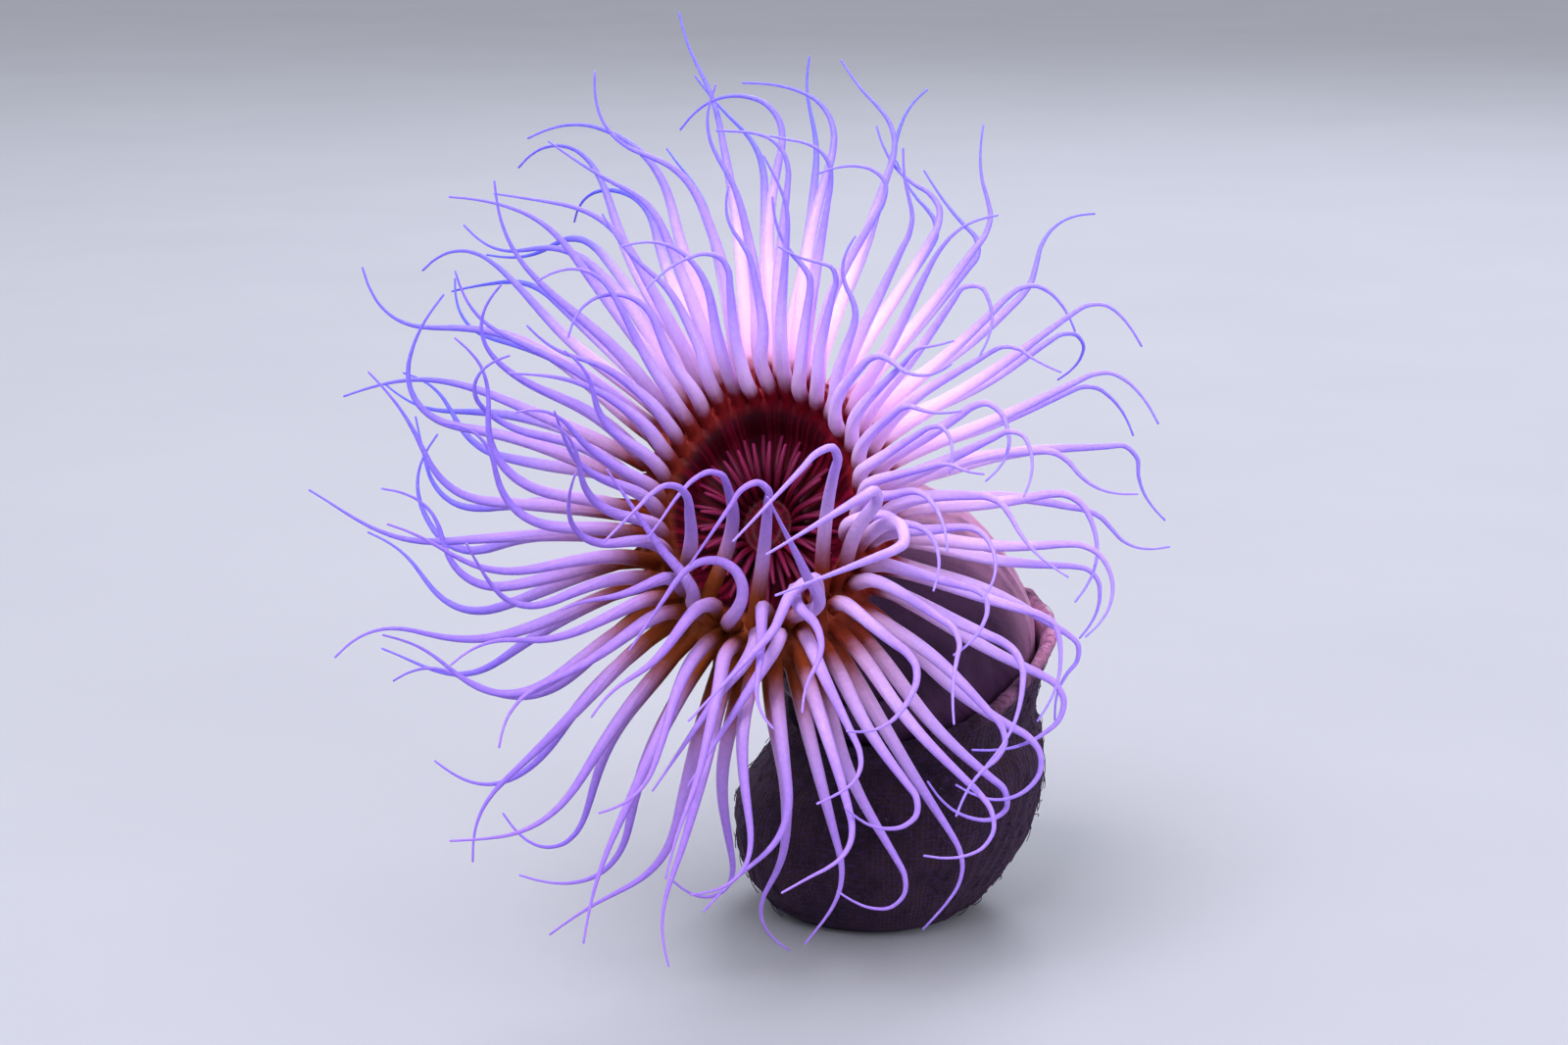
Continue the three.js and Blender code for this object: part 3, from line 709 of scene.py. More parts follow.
@dataclass
class FleshSkin:
    """The animal's skin: mouth, disc, lip, column and every tentacle as one closed surface.

    Lengths are in millimetres. Profiles give the radius and the height of each row.
    """

    crown: Crown
    rule: TentacleRule
    labials: Labials
    column: Column
    columns: int = 144
    stations: int = 56
    straight: float = 18.0
    collar: float = 3.0
    root_width: float = 2.08
    labial_root: float = 1.05
    slit: float = 0.35
    slit_radius: float = 1.5
    slit_fade: float = 5.0
    inside: float = 0.3
    furrows: int = 36
    furrow_sway: float = 2.2
    furrow_depth: float = 0.22
    furrow_top: float = 0.97
    wrinkles: float = 40.0
    wrinkle_depth: float = 0.35
    wrinkle_top: float = 0.9
    warm_turn: float = 0.5
    coolest: float = 125.0
    coolness: tuple[float, float] = (0.35, 0.65)
    # painted light: the angle and slope of the pink lit side of the column
    painted_light_angle: float = 80.0
    painted_light_slope: float = 1.1
    fringes: tuple[float, ...] = (1.5, 0.7, 0.4, 0.2)
    mouth: tuple[tuple[float, float], ...] = (
        (1.2, -7.1), (2.2, -6.5), (3.0, -5.2), (3.7, -4.1), (4.6, -3.5), (5.5, -3.7), (6.3, -4.4),
    )
    labial_rows: tuple[tuple[float, float], ...] = (
        (7.1, -4.1), (7.75, -3.45), (8.4, -3.3), (9.05, -3.5), (9.7, -4.1),
    )
    disc: tuple[tuple[float, float], ...] = (
        (11, -4.3), (13, -3.7), (15.2, -3.0), (17.4, -2.2),
        (19.4, -1.3), (21, -0.1), (22, 1.3), (22.6, 2.9),
    )
    lip_angles: tuple[float, ...] = (145, 131, 118, 99.5, 81, 64, 47, 29.5, 12, -5, -22, -37)
    under_lip: tuple[tuple[float, float], ...] = ((34.3, -6.2), (34.2, -8.0))

    def profile(self) -> list[tuple[float, float]]:
        """Rows of the crown from the mouth to under the lip, as radius and height.

        Returns:
            One radius and height for each row.
        """
        ring, size = self.crown.lip_ring, self.crown.lip_round
        turns = [math.radians(angle) for angle in self.lip_angles]
        lip = [(ring + size * math.cos(a), size * math.sin(a)) for a in turns]
        return [*self.mouth, *self.labial_rows, *self.disc, *lip, *self.under_lip]

    def labial_row(self, cycle: int) -> int:
        """The row that a cycle of labial tentacles grows from."""
        return len(self.mouth) + 1 + 2 * cycle

    def tentacle_row(self, cycle: int) -> int:
        """The row that a cycle of marginal tentacles grows from."""
        return len(self.mouth) + len(self.labial_rows) + len(self.disc) + 3 + 2 * cycle

    def crown_rows(self, angles: Array) -> Array:
        """Rows from the mouth to under the lip, drawn together sideways into a slit at the mouth.

        Args:
            angles: The clock angle of each column in radians.

        Returns:
            Points as row, column and coordinate.
        """
        made = []
        for radius, height in self.profile():
            opening = float(ease((radius - self.slit_radius) / self.slit_fade))
            ring = np.array([self.crown.point(a, radius, height) for a in angles])
            across = (ring - np.array(self.crown.centre)) @ self.crown.side
            made.append(ring - (1 - self.slit) * (1 - opening) * across[:, None] * self.crown.side)
        return np.array(made)

    def column_rows(self, angles: Array) -> Array:
        """Rows from the crown down to the foot, with furrows along the column and wrinkles round it.

        Args:
            angles: The clock angle of each column in radians.

        Returns:
            Points as row, column and coordinate.
        """
        points, along = self.column.line(self.crown)
        side, made = self.crown.side, []
        for t in 1 - (np.arange(self.column.rows) + 0.6) / (self.column.rows - 0.2):
            k = np.array([t * self.column.samples])
            centre, way = through(points, k)[0], unit(through(along, k)[0])
            side = unit(side - (side @ way) * way)
            up = np.cross(way, side)
            radius = float(self.column.radius(t)[0]) - self.column.inset
            furrow = np.cos(self.furrows * angles + self.furrow_sway * np.sin(3 * angles + 7 * t))
            furrow = self.furrow_depth * ease((self.furrow_top - t) * 8) * furrow
            wrinkle = np.sin(self.wrinkles * t + 1.5 * np.sin(2 * angles))
            wrinkle = self.wrinkle_depth * ease((self.wrinkle_top - t) * 6) * wrinkle
            reach = radius * self.column.squeeze(t, angles, self.crown) - self.inside + furrow + wrinkle
            ring = np.cos(angles)[:, None] * side + np.sin(angles)[:, None] * up
            made.append(centre + reach[:, None] * ring)
        return np.array(made)

    def rows(self) -> Array:
        """Every row of the skin, as row, column and coordinate, from the mouth to the foot."""
        angles = 2 * math.pi * np.arange(self.columns) / self.columns
        return np.concatenate([self.crown_rows(angles), self.column_rows(angles)])

    def strand(self, line: Array, radii: Array, count: int, collar: float, **place: object) -> Strand:
        """Makes a strand from a centre line, with its stations closer together where it bends.

        Args:
            line: The centre line's points.
            radii: The radius at each of the line's points.
            count: How many stations the strand gets.
            collar: How far from the line's root the first station is.
            place: Where it grows and how it is tinted.

        Returns:
            The strand.
        """
        fine = np.linspace(0, len(line) - 1, 12 * len(line))
        points = through(line, fine)
        steps = np.linalg.norm(np.diff(points, axis=0), axis=1)
        ways = unit(np.diff(points, axis=0))
        bends = np.concatenate([[0], np.arccos(np.clip(dot(ways[1:], ways[:-1]), -1, 1))])
        cost = np.concatenate([[0], np.cumsum(steps / self.straight + bends)])
        run = np.concatenate([[0], np.cumsum(steps)])
        first = float(np.interp(collar, run, cost))
        want = np.linspace(first, cost[-1], count)
        places = np.interp(want, cost, fine)
        shares = np.interp(want, cost, run) / run[-1]
        return Strand(through(line, places), through(radii, places), shares, **place)

    def strands(self) -> list[Strand]:
        """Every tentacle, marginal and labial, as a strand to sweep.

        Returns:
            The strands, marginal ones first.
        """
        plans = self.rule.plans()
        shares = np.arange(self.rule.steps + 1) / self.rule.steps
        radii = self.rule.thickness(shares)
        lines = np.array([self.rule.grow(plan, self.crown) for plan in plans])
        lines = Clearance().settle(lines, radii)
        made = []
        for plan, line in zip(plans, lines):
            warm = self.warmth(plan.angle)
            far = 0.5 + 0.5 * math.cos(plan.angle - math.radians(self.coolest))
            least, more = self.coolness
            place = {"row": self.tentacle_row(plan.cycle), "column": 4 * plan.spoke + 2 * (plan.cycle % 2)}
            tint = {"warm": warm, "cool": far * (least + more * plan.cycle / 3)}
            tint["fringe"] = self.fringe(plan.cycle, warm)
            made.append(self.strand(line, radii, self.stations, self.collar, **place, **tint))
        labials, radii = self.labials, self.labials.radii()
        for index in range(labials.count):
            line = labials.line(index, self.crown)
            place = {"row": self.labial_row(index % 2), "column": 3 * index, "disc": 1.0}
            made.append(self.strand(line, radii, labials.stations, labials.collar, **place))
        return made

    def warmth(self, angle: float) -> float:
        """How warm the flesh is at a clock angle: most of all near six o'clock. It also sets how much
        painted shade the lower tentacles get.
        """
        return 0.5 - 0.5 * math.sin(angle + self.warm_turn)

    def fringe(self, cycle: float, warm: float) -> float:
        """How far the dark fringe reaches up from a root: high on the inmost cycle, low on the outmost."""
        return warm + (1.0 - warm) * float(np.interp(cycle, range(len(self.fringes)), self.fringes))

    def hole(self, row: int, column: int) -> list[tuple[int, int]]:
        """The eight places round one place of the skin, anticlockwise as seen from outside."""
        steps = ((-1, -1), (0, -1), (1, -1), (1, 0), (1, 1), (0, 1), (-1, 1), (-1, 0))
        return [(row + a, (column + b) % self.columns) for a, b in steps]

    def open_roots(self, grid: Array, strands: list[Strand]) -> None:
        """Draws the skin round each root into a circle, so that neighbouring roots pack together.

        Args:
            grid: The skin's rows, which are changed in place.
            strands: What grows out of the skin.
        """
        pulled, counts = np.zeros_like(grid), np.zeros(grid.shape[:2])
        for strand in strands:
            size = self.root_width if strand.disc == 0 else self.labial_root * self.labials.base_radius
            centre = grid[strand.row, strand.column]
            for place in self.hole(strand.row, strand.column):
                pulled[place] += centre + size * unit(grid[place] - centre)
                counts[place] += 1
        held = counts > 0
        grid[held] = pulled[held] / counts[held][:, None]

    def swept(self, strands: list[Strand], grid: Array, material: bpy.types.Material) -> list[Array]:
        """Sweeps the tubes of all strands.

        Args:
            strands: The strands.
            grid: The skin's rows, which the first corner of each tube faces.
            material: The flesh.

        Returns:
            For each strand, its rings of points.
        """
        points, across, radii, edges = [], [], [], []
        for strand in strands:
            way = np.diff(strand.points, axis=0)
            way = unit(np.vstack([way[:1], unit(way[1:]) + unit(way[:-1]), way[-1:]]))
            side = grid[self.hole(strand.row, strand.column)[0]] - strand.points[0]
            start = len(points)
            for k, point in enumerate(strand.points):
                side = unit(side - (side @ way[k]) * way[k])
                points.append(point)
                across.append(side)
            radii.extend(strand.radii)
            edges.extend((start + k, start + k + 1) for k in range(len(strand.points) - 1))
        source = bpy.data.meshes.new("strands")
        source.from_pydata(np.array(points) * MM, edges, [])
        facing = source.attributes.new("across", "FLOAT_VECTOR", "POINT")
        facing.data.foreach_set("vector", np.array(across).ravel())
        thick = source.attributes.new("round", "FLOAT", "POINT")
        thick.data.foreach_set("value", np.array(radii) * MM)
        sweep = Sweep()
        tubes = sweep.tree(material).run(source, {"Sides": sweep.sides})
        flat = np.zeros(len(tubes.vertices) * 3)
        tubes.vertices.foreach_get("co", flat)
        rings = flat.reshape(-1, sweep.sides, 3) / MM
        stops = np.cumsum([len(strand.points) for strand in strands])
        return np.split(rings, stops[:-1])

    def tint(self, row: int, column: int) -> dict[str, float]:
        """What the finish reads at one place of the skin.

        Args:
            row: The place's row, from the mouth to the foot.
            column: Its column, from three o'clock.

        Returns:
            The tint values by name.
        """
        lip, last = self.tentacle_row(0), len(self.profile()) - 1
        angle = 2 * math.pi * column / self.columns
        warm, body = self.warmth(angle), float(ease((row - last + 4) / 3))
        # painted light: pink where the column's upper side catches the light
        painted_light = self.painted_light_slope * math.cos(angle - math.radians(self.painted_light_angle)) + 0.05
        return {
            "disc": float(ease((lip - row) / 2.0)),
            "column": body,
            "warm": warm,
            "fringe": self.fringe((row - lip) / 2, warm),
            "painted_light": body * float(ease(painted_light)),
            "furrow": 0.5 - 0.5 * math.cos(self.furrows * angle + self.furrow_sway * math.sin(3 * angle)),
        }

    def build(self, material: bpy.types.Material) -> bpy.types.Object:
        """Builds the whole skin and writes what its finish reads.

        Args:
            material: The flesh.

        Returns:
            The skin.
        """
        grid, strands = self.rows(), self.strands()
        self.open_roots(grid, strands)
        tubes = self.swept(strands, grid, material)
        surface = SkinMesh()
        ids = np.full(grid.shape[:2], -1)
        taken = {(s.row, s.column) for s in strands}
        for place in np.ndindex(grid.shape[:2]):
            if place not in taken:
                ids[place] = surface.point(grid[place], **self.tint(*place))
        corners = [(a, b) for a in (-1, 0) for b in (-1, 0)]
        closed = {(s.row + a, (s.column + b) % self.columns) for s in strands for a, b in corners}
        for row, j in np.ndindex(grid.shape[0] - 1, self.columns):
            if (row, j) not in closed:
                n = (j + 1) % self.columns
                surface.face(ids[row, j], ids[row + 1, j], ids[row + 1, n], ids[row, n])
        mouth = surface.point(self.crown.point(0, 0, self.mouth[0][1] - self.inside), disc=1.0)
        foot = surface.point(grid[-1].mean(axis=0), column=1.0)
        for j in range(self.columns):
            n = (j + 1) % self.columns
            surface.face(mouth, ids[0, j], ids[0, n])
            surface.face(foot, ids[-1, n], ids[-1, j])
        for strand, rings in zip(strands, tubes):
            loop = self.hole(strand.row, strand.column)
            normal = unit(np.cross(grid[loop[3]] - grid[loop[7]], grid[loop[5]] - grid[loop[1]]))
            surface.tentacle(strand, rings, [int(ids[p]) for p in loop], normal)
        skin = surface.finish("flesh_skin", material)
        LOG.info("skin: %d tentacles, %d faces", len(strands), len(skin.data.polygons))
        return skin


@dataclass
class SkinMesh:
    """Points, faces and tint values of the skin as it is put together."""

    points: list[Array] = field(default_factory=list)
    faces: list[tuple[int, ...]] = field(default_factory=list)
    names: tuple[str, ...] = ("along", "warm", "cool", "fringe", "disc", "column", "painted_light", "furrow")
    tints: dict[str, list[float]] = field(default_factory=dict)
    collar: tuple[float, ...] = (0.3, 0.65)
    collar_rise: float = 0.9
    cap_width: float = 0.7
    cap_rise: float = 0.6

    def point(self, place: Array, **tint: float) -> int:
        """Adds a point with its tint values and returns its number.

        Args:
            place: Where the point is.
            tint: Its tint values by name; the rest are 0.

        Returns:
            The point's number.
        """
        self.points.append(place)
        for name in self.names:
            self.tints.setdefault(name, []).append(float(tint.get(name, 0.0)))
        return len(self.points) - 1

    def face(self, *corners: int) -> None:
        """Adds a face."""
        self.faces.append(tuple(int(c) for c in corners))

    def band(self, before: list[int], after: list[int]) -> None:
        """Joins two rings of the same count.

        Args:
            before: The points of the first ring.
            after: The points of the next ring.
        """
        for i in range(len(before)):
            n = (i + 1) % len(before)
            self.face(before[i], before[n], after[n], after[i])

    def tentacle(self, strand: Strand, rings: Array, loop: list[int], normal: Array) -> None:
        """Grows one tube out of the skin.

        Args:
            strand: What the tube follows.
            rings: The tube's rings of points.
            loop: The points of the skin round its root.
            normal: The direction out of the skin there.
        """
        start = np.array([self.points[k] for k in loop])
        fits = [np.sum((np.roll(rings[0], -k, axis=0) - start) ** 2) for k in range(len(loop))]
        rings = np.roll(rings, -int(np.argmin(fits)), axis=1)
        way = unit(strand.points[1] - strand.points[0])
        span = np.linalg.norm(rings[0].mean(axis=0) - start.mean(axis=0))
        tint = {"warm": strand.warm, "cool": strand.cool, "fringe": strand.fringe, "disc": strand.disc}
        before = loop
        for t in self.collar:
            rise = self.collar_rise * span * ((t**3 - 2 * t**2 + t) * normal + (t**3 - t**2) * way)
            places = (2 * t**3 - 3 * t**2 + 1) * start + (3 * t**2 - 2 * t**3) * rings[0] + rise
            now = [self.point(p, along=strand.along[0] * t, **tint) for p in places]
            self.band(before, now)
            before = now
        for ring, along in zip(rings, strand.along):
            now = [self.point(p, along=along, **tint) for p in ring]
            self.band(before, now)
            before = now
        ahead = unit(strand.points[-1] - strand.points[-2]) * strand.radii[-1]
        centre = rings[-1].mean(axis=0)
        cap = centre + self.cap_width * (rings[-1] - centre) + self.cap_rise * ahead
        rounded = [self.point(p, along=1.0, **tint) for p in cap]
        self.band(before, rounded)
        tip = self.point(centre + ahead, along=1.0, **tint)
        for i in range(len(rounded)):
            self.face(rounded[i], rounded[(i + 1) % len(rounded)], tip)

    def finish(self, name: str, material: bpy.types.Material) -> bpy.types.Object:
        """Makes the object.

        Args:
            name: The piece's name.
            material: Its finish.

        Returns:
            The piece, smooth and in metres.
        """
        mesh = bpy.data.meshes.new(name)
        mesh.from_pydata(np.array(self.points) * MM, [], self.faces)
        for tint, values in self.tints.items():
            mesh.attributes.new(tint, "FLOAT", "POINT").data.foreach_set("value", values)
        mesh.materials.append(material)
        mesh.shade_smooth()
        mesh.update()
        return added(name, mesh)


# ---- The felt tube --------------------------------------------------------------------------------


@dataclass(frozen=True)
class Layer:
    """A layer of noise in the felt: how wide its lumps are, how tall, and where in the noise it lies."""

    size: float
    squash: float = 1.0
    offset: float = 0.0
    depth: int = 2

    def at(self, point: Array) -> float:
        """The layer's value at a point in millimetres, about -1 to 1."""
        return rough(point * np.array([1, 1, self.squash]) + self.offset, self.size, self.depth)


@dataclass
class FeltTube:
    """The tube of matted felt: outer wall, rolled edge and the inner wall that hugs the column.

    Lumps are given as a count round the tube, a size, a twist with height and a start.
    """

    crown: Crown
    column: Column
    heights: tuple[float, ...] = (0, 3, 11, 22, 34, 43, 47, 54, 61)
    radii: tuple[float, ...] = (23, 28.5, 34.5, 38.6, 40.2, 38.6, 36, 35.4, 36.2)
    shift: tuple[float, float, float] = (11, 0, 0)
    shift_power: float = 1.5
    mouth_normal: tuple[float, float, float] = (-0.3, -0.23, 0.93)
    tilt_power: int = 2
    lumps: tuple[tuple[float, float, float, float], ...] = ((3, 0.7, 0.09, 0.0), (5, 0.5, 0.0, 1.9))
    foot_rings: tuple[float, ...] = (7.0, 14.0, 20.0)
    rim_round: float = 2.2
    rim_rise: float = 2.4
    rim_inset: float = 0.4
    rim_turn: tuple[float, float] = (-30, 210)
    gap: float = 0.45
    widest: float = 46.0
    inner_foot: float = 17.0
    # painted light: the angle of the lit side of the rolled edge
    painted_light_angle: float = 10.0
    lump: float = 1.1
    fold: float = 0.2
    fold_height: float = 1.05
    fold_sway: float = 5.0
    pleat: float = 0.22
    pleats: int = 46
    pleat_sway: float = 4.0
    matting: float = 0.34
    frill: float = 0.9
    ragged: float = 0.5
    lump_layer: Layer = Layer(26.0)
    fold_layer: Layer = Layer(30.0, 0.35, 40.0)
    depth_layer: Layer = Layer(17.0, 1.0, 90.0)
    pleat_layer: Layer = Layer(24.0, 0.3, 70.0)
    matting_layer: Layer = Layer(3.2, 0.6, 0.0, 3)
    frill_layer: Layer = Layer(9.0)
    ragged_layer: Layer = Layer(2.6, 1.0, 55.0)
    sides: int = 230
    outer_rows: int = 74
    row_power: float = 0.92
    rim_rows: int = 17
    inner_rows: int = 22
    thread_count: float = 0.055
    thread_length: float = 4.6
    thread_radius: float = 0.11
    grain_count: float = 0.05
    grain_size: float = 0.3
    scales: tuple[float, float] = (0.45, 1.3)
    seed: int = 11

    @cached_property
    def turns(self) -> Array:
        """The angle of each side, in radians."""
        return 2 * math.pi * np.arange(self.sides) / self.sides

    def bearings(self, height: float) -> tuple[Array, Array, Array, Array]:
        """Centre, the two directions across and the direction along the tube at a height.

        Args:
            height: Where along the tube.

        Returns:
            The centre and the three directions.
        """
        share = height / self.heights[-1]
        centre = np.array(self.shift) * share**self.shift_power
        centre[2] = height
        upright, mouth = np.array([0.0, 0.0, 1.0]), unit(np.array(self.mouth_normal))
        normal = turned(upright, mouth, share**self.tilt_power)
        across = unit(np.array([1.0, 0, 0]) - normal[0] * normal)
        return centre, across, np.cross(normal, across), normal

    def ring(self, height: float, reach: Array) -> Array:
        """Points at a height, each as far out as told.

        Args:
            height: Where along the tube.
            reach: How far out each point is.

        Returns:
            One point for each side.
        """
        centre, across, other, _ = self.bearings(height)
        around = np.cos(self.turns)[:, None] * across + np.sin(self.turns)[:, None] * other
        return centre + reach[:, None] * around

    def wall(self, height: float) -> Array:
        """How far out the outer wall is at a height, before its felt is matted.

        Args:
            height: Where along the tube.

        Returns:
            The reach on each side.
        """
        place = np.interp(height, self.heights, np.arange(len(self.heights)))
        out = np.zeros(self.sides)
        if height > 0:
            for count, size, twist, start in self.lumps:
                out += size * np.sin(count * self.turns + twist * height + start)
        return through(np.array(self.radii, float), np.array([place]))[0] + out

    def bore(self, height: float, line: Array, radii: Array) -> Array:
        """How far out the column is at a height.

        Args:
            height: Where along the tube.
            line: Points of the column's spine.
            radii: The column's radius at each of them.

        Returns:
            The reach in each direction, with the gap.
        """
        low, high = np.full(self.sides, 2.0), np.full(self.sides, self.widest)
        for _ in range(18):
            reach = 0.5 * (low + high)
            points = self.ring(height, reach)
            depth = (np.linalg.norm(points[:, None] - line[None], axis=2) - radii[None]).min(axis=1)
            inside = depth < self.gap
            low, high = np.where(inside, reach, low), np.where(inside, high, reach)
        return low

    def matted(self, points: Array, height: float) -> Array:
        """How far the felt stands out at each point: soft lumps, folds, pleats and matting.

        Args:
            points: One point for each side, on the plain wall.
            height: Where along the tube.

        Returns:
            How far each point moves out.
        """
        steady = ease(height / 9)
        out = np.zeros(len(points))
        for i, p in enumerate(points):
            fold = math.sin(height / self.fold_height + self.fold_sway * self.fold_layer.at(p))
            pleat = math.sin(self.pleats * self.turns[i] + self.pleat_sway * self.pleat_layer.at(p))
            depth = 0.5 + 0.5 * self.depth_layer.at(p)
            folded = self.lump * self.lump_layer.at(p) + self.fold * fold * depth
            out[i] = folded + self.pleat * pleat * (1.2 - depth) + self.matting * self.matting_layer.at(p)
        return out * steady

    def edge_rows(self, line: Array, radii: Array) -> list[Array]:
        """Rows over the tube's rolled, ragged edge.

        Args:
            line: Points of the column's spine.
            radii: The column's radius at each of them.

        Returns:
            The rows, from the outside to the inside.
        """
        top, made = self.heights[-1], []
        plain = self.ring(top, self.wall(top))
        frill = np.array([self.frill_layer.at(p) for p in plain])
        ragged = np.array([self.ragged_layer.at(p) for p in plain])
        for a in np.radians(np.linspace(*self.rim_turn, self.rim_rows)):
            size = self.rim_round * (1 + 0.3 * frill) + 0.3 * ragged * math.sin(a)
            reach = self.wall(top) - self.rim_inset + 1.0 * frill + size * math.cos(a)
            height = top + self.rim_rise + self.rim_round * math.sin(a)
            ring = self.ring(height, np.maximum(reach, self.bore(height, line, radii)))
            lift = self.frill * frill + self.ragged * ragged * max(0.0, math.sin(a))
            made.append(ring + lift[:, None] * self.bearings(height)[3])
        return made

    def rows(self) -> tuple[list[Array], int]:
        """Rows of the shell and how many of them come before its edge.

        Returns:
            The rows, from under the foot, up the outside, over the edge and down the inside.
        """
        line, _ = self.column.line(self.crown)
        radii = self.column.radius(np.linspace(0, 1, len(line)))
        top = self.heights[-1]
        rows = [self.ring(0, np.full(self.sides, r)) for r in self.foot_rings]
        for height in top * np.linspace(0, 1, self.outer_rows) ** self.row_power:
            plain = self.ring(height, self.wall(height))
            rows.append(self.ring(height, self.wall(height) + self.matted(plain, height)))
        outside = len(rows)
        rows.extend(self.edge_rows(line, radii))
        for height in np.linspace(top + 1.0, self.inner_foot, self.inner_rows):
            rows.append(self.ring(height, self.bore(height, line, radii)))
        return rows, outside

    def build(self, material: bpy.types.Material) -> bpy.types.Object:
        """Builds the tube's closed shell.

        Args:
            material: The felt.

        Returns:
            The tube.
        """
        rows, outside = self.rows()
        surface = SkinMesh(names=("outside", "edge"))
        ids = []
        for k, row in enumerate(rows):
            edge = float(ease((k - outside + 5) / 9) * ease((outside + 20 - k) / 6))
            out = 1.0 if 6 < k < outside + 9 else 0.0
            # painted light: the edge share, kept to the lit side of the tube
            lit = edge * ease(1.5 * np.cos(self.turns - math.radians(self.painted_light_angle)) - 0.3)
            ids.append([surface.point(p, outside=out, edge=float(e)) for p, e in zip(row, lit)])
        for before, after in zip(ids[:-1], ids[1:]):
            surface.band(before, after)
        under = surface.point(np.zeros(3))
        deep = surface.point(np.array([2.0, 3.0, 12.0]))
        for i in range(self.sides):
            n = (i + 1) % self.sides
            surface.face(under, ids[0][n], ids[0][i])
            surface.face(deep, ids[-1][i], ids[-1][n])
        tube = surface.finish("felt_tube", material)
        LOG.info("felt tube: %d faces", len(tube.data.polygons))
        return tube

    def thread(self, board: GeometryBoard) -> bpy.types.NodeSocket:
        """One loose thread: a short bent hair of felt.

        Args:
            board: The node tree.

        Returns:
            The thread's mesh.
        """
        length, thick = board.size("Thread Length"), board.size("Thread Radius")
        bend = board.add("ShaderNodeVectorMath", {0: (0.5, 0.22, 0.16)}, operation="SCALE")
        reach = board.add("ShaderNodeVectorMath", {0: (1.0, 0.0, 0.02)}, operation="SCALE")
        for node in (bend, reach):
            board.tree.links.new(length, node.inputs["Scale"])
        ends = {"Start": (0, 0, -0.1 * MM), "Middle": bend.outputs[0], "End": reach.outputs[0]}
        curve = board.add("GeometryNodeCurveQuadraticBezier", {"Resolution": 6, **ends})
        circle = {"Resolution": 3, "Radius": thick}
        ring = board.add("GeometryNodeCurvePrimitiveCircle", circle, mode="RADIUS")
        curves = {"Curve": curve.outputs[0], "Profile Curve": ring.outputs["Curve"]}
        return board.add("GeometryNodeCurveToMesh", {**curves, "Fill Caps": True}).outputs[0]

    def scatter(
        self, board: GeometryBoard, shape: bpy.types.NodeSocket, share: str, seed: bpy.types.NodeSocket
    ) -> bpy.types.NodeSocket:
        """Scatters one shape over the outside of the tube.

        Args:
            board: The node tree.
            shape: What is scattered.
            share: Name of the input that says how many stand on a square metre.
            seed: The seed of this scatter.

        Returns:
            The shapes in their places.
        """
        outside = board.add("GeometryNodeInputNamedAttribute", {"Name": "outside"}, data_type="FLOAT")
        spots = board.add(
            "GeometryNodeDistributePointsOnFaces",
            {"Mesh": board.start.outputs["Geometry"], "Density": board.size(share), "Seed": seed},
            distribute_method="RANDOM",
        )
        board.tree.links.new(outside.outputs[0], spots.inputs["Selection"])
        spin = board.add("FunctionNodeRandomValue", {"Seed": seed, 3: 2 * math.pi}, data_type="FLOAT")
        turn = board.add("ShaderNodeCombineXYZ", {"Z": spin.outputs[1]})
        rotation = board.add(
            "FunctionNodeRotateRotation",
            {"Rotation": spots.outputs["Rotation"], "Rotate By": turn.outputs[0]},
            rotation_space="LOCAL",
        )
        least, most = self.scales
        size = board.add("FunctionNodeRandomValue", {"Seed": seed, 2: least, 3: most}, data_type="FLOAT")
        placed = {"Points": spots.outputs["Points"], "Instance": shape}
        placed |= {"Rotation": rotation.outputs[0], "Scale": size.outputs[1]}
        return board.add("GeometryNodeInstanceOnPoints", placed).outputs[0]

    def fluff(self, tube: bpy.types.Object, material: bpy.types.Material) -> bpy.types.Object:
        """Scatters loose threads and grains of silt over the tube with geometry nodes.

        Args:
            tube: The finished tube.
            material: The finish of the threads.

        Returns:
            One piece of all threads and grains.
        """
        board = GeometryBoard("threads_and_silt")
        seed = board.size("Seed", "NodeSocketInt")
        grain = board.size("Grain Size")
        ball = board.add("GeometryNodeMeshIcoSphere", {"Radius": grain, "Subdivisions": 1})
        joined = board.add("GeometryNodeJoinGeometry")
        kinds = ((self.thread(board), "Threads", 0.0), (ball.outputs[0], "Grains", 7.0))
        for shape, share, offset in kinds:
            shifted = board.add("ShaderNodeMath", {0: seed, 1: offset}, operation="ADD")
            board.tree.links.new(self.scatter(board, shape, share, shifted.outputs[0]), joined.inputs[0])
        board.finish(joined.outputs[0], material)
        sizes = {
            "Thread Length": self.thread_length * MM,
            "Thread Radius": self.thread_radius * MM,
            "Grain Size": self.grain_size * MM,
            "Threads": self.thread_count / MM**2,
            "Grains": self.grain_count / MM**2,
            "Seed": self.seed,
        }
        made = board.run(tube.data.copy(), sizes)
        made.name = "felt_fluff"
        made.shade_smooth()
        LOG.info("felt fluff: %d faces", len(made.polygons))
        return added("felt_fluff", made)


# ---- Finishes -------------------------------------------------------------------------------------


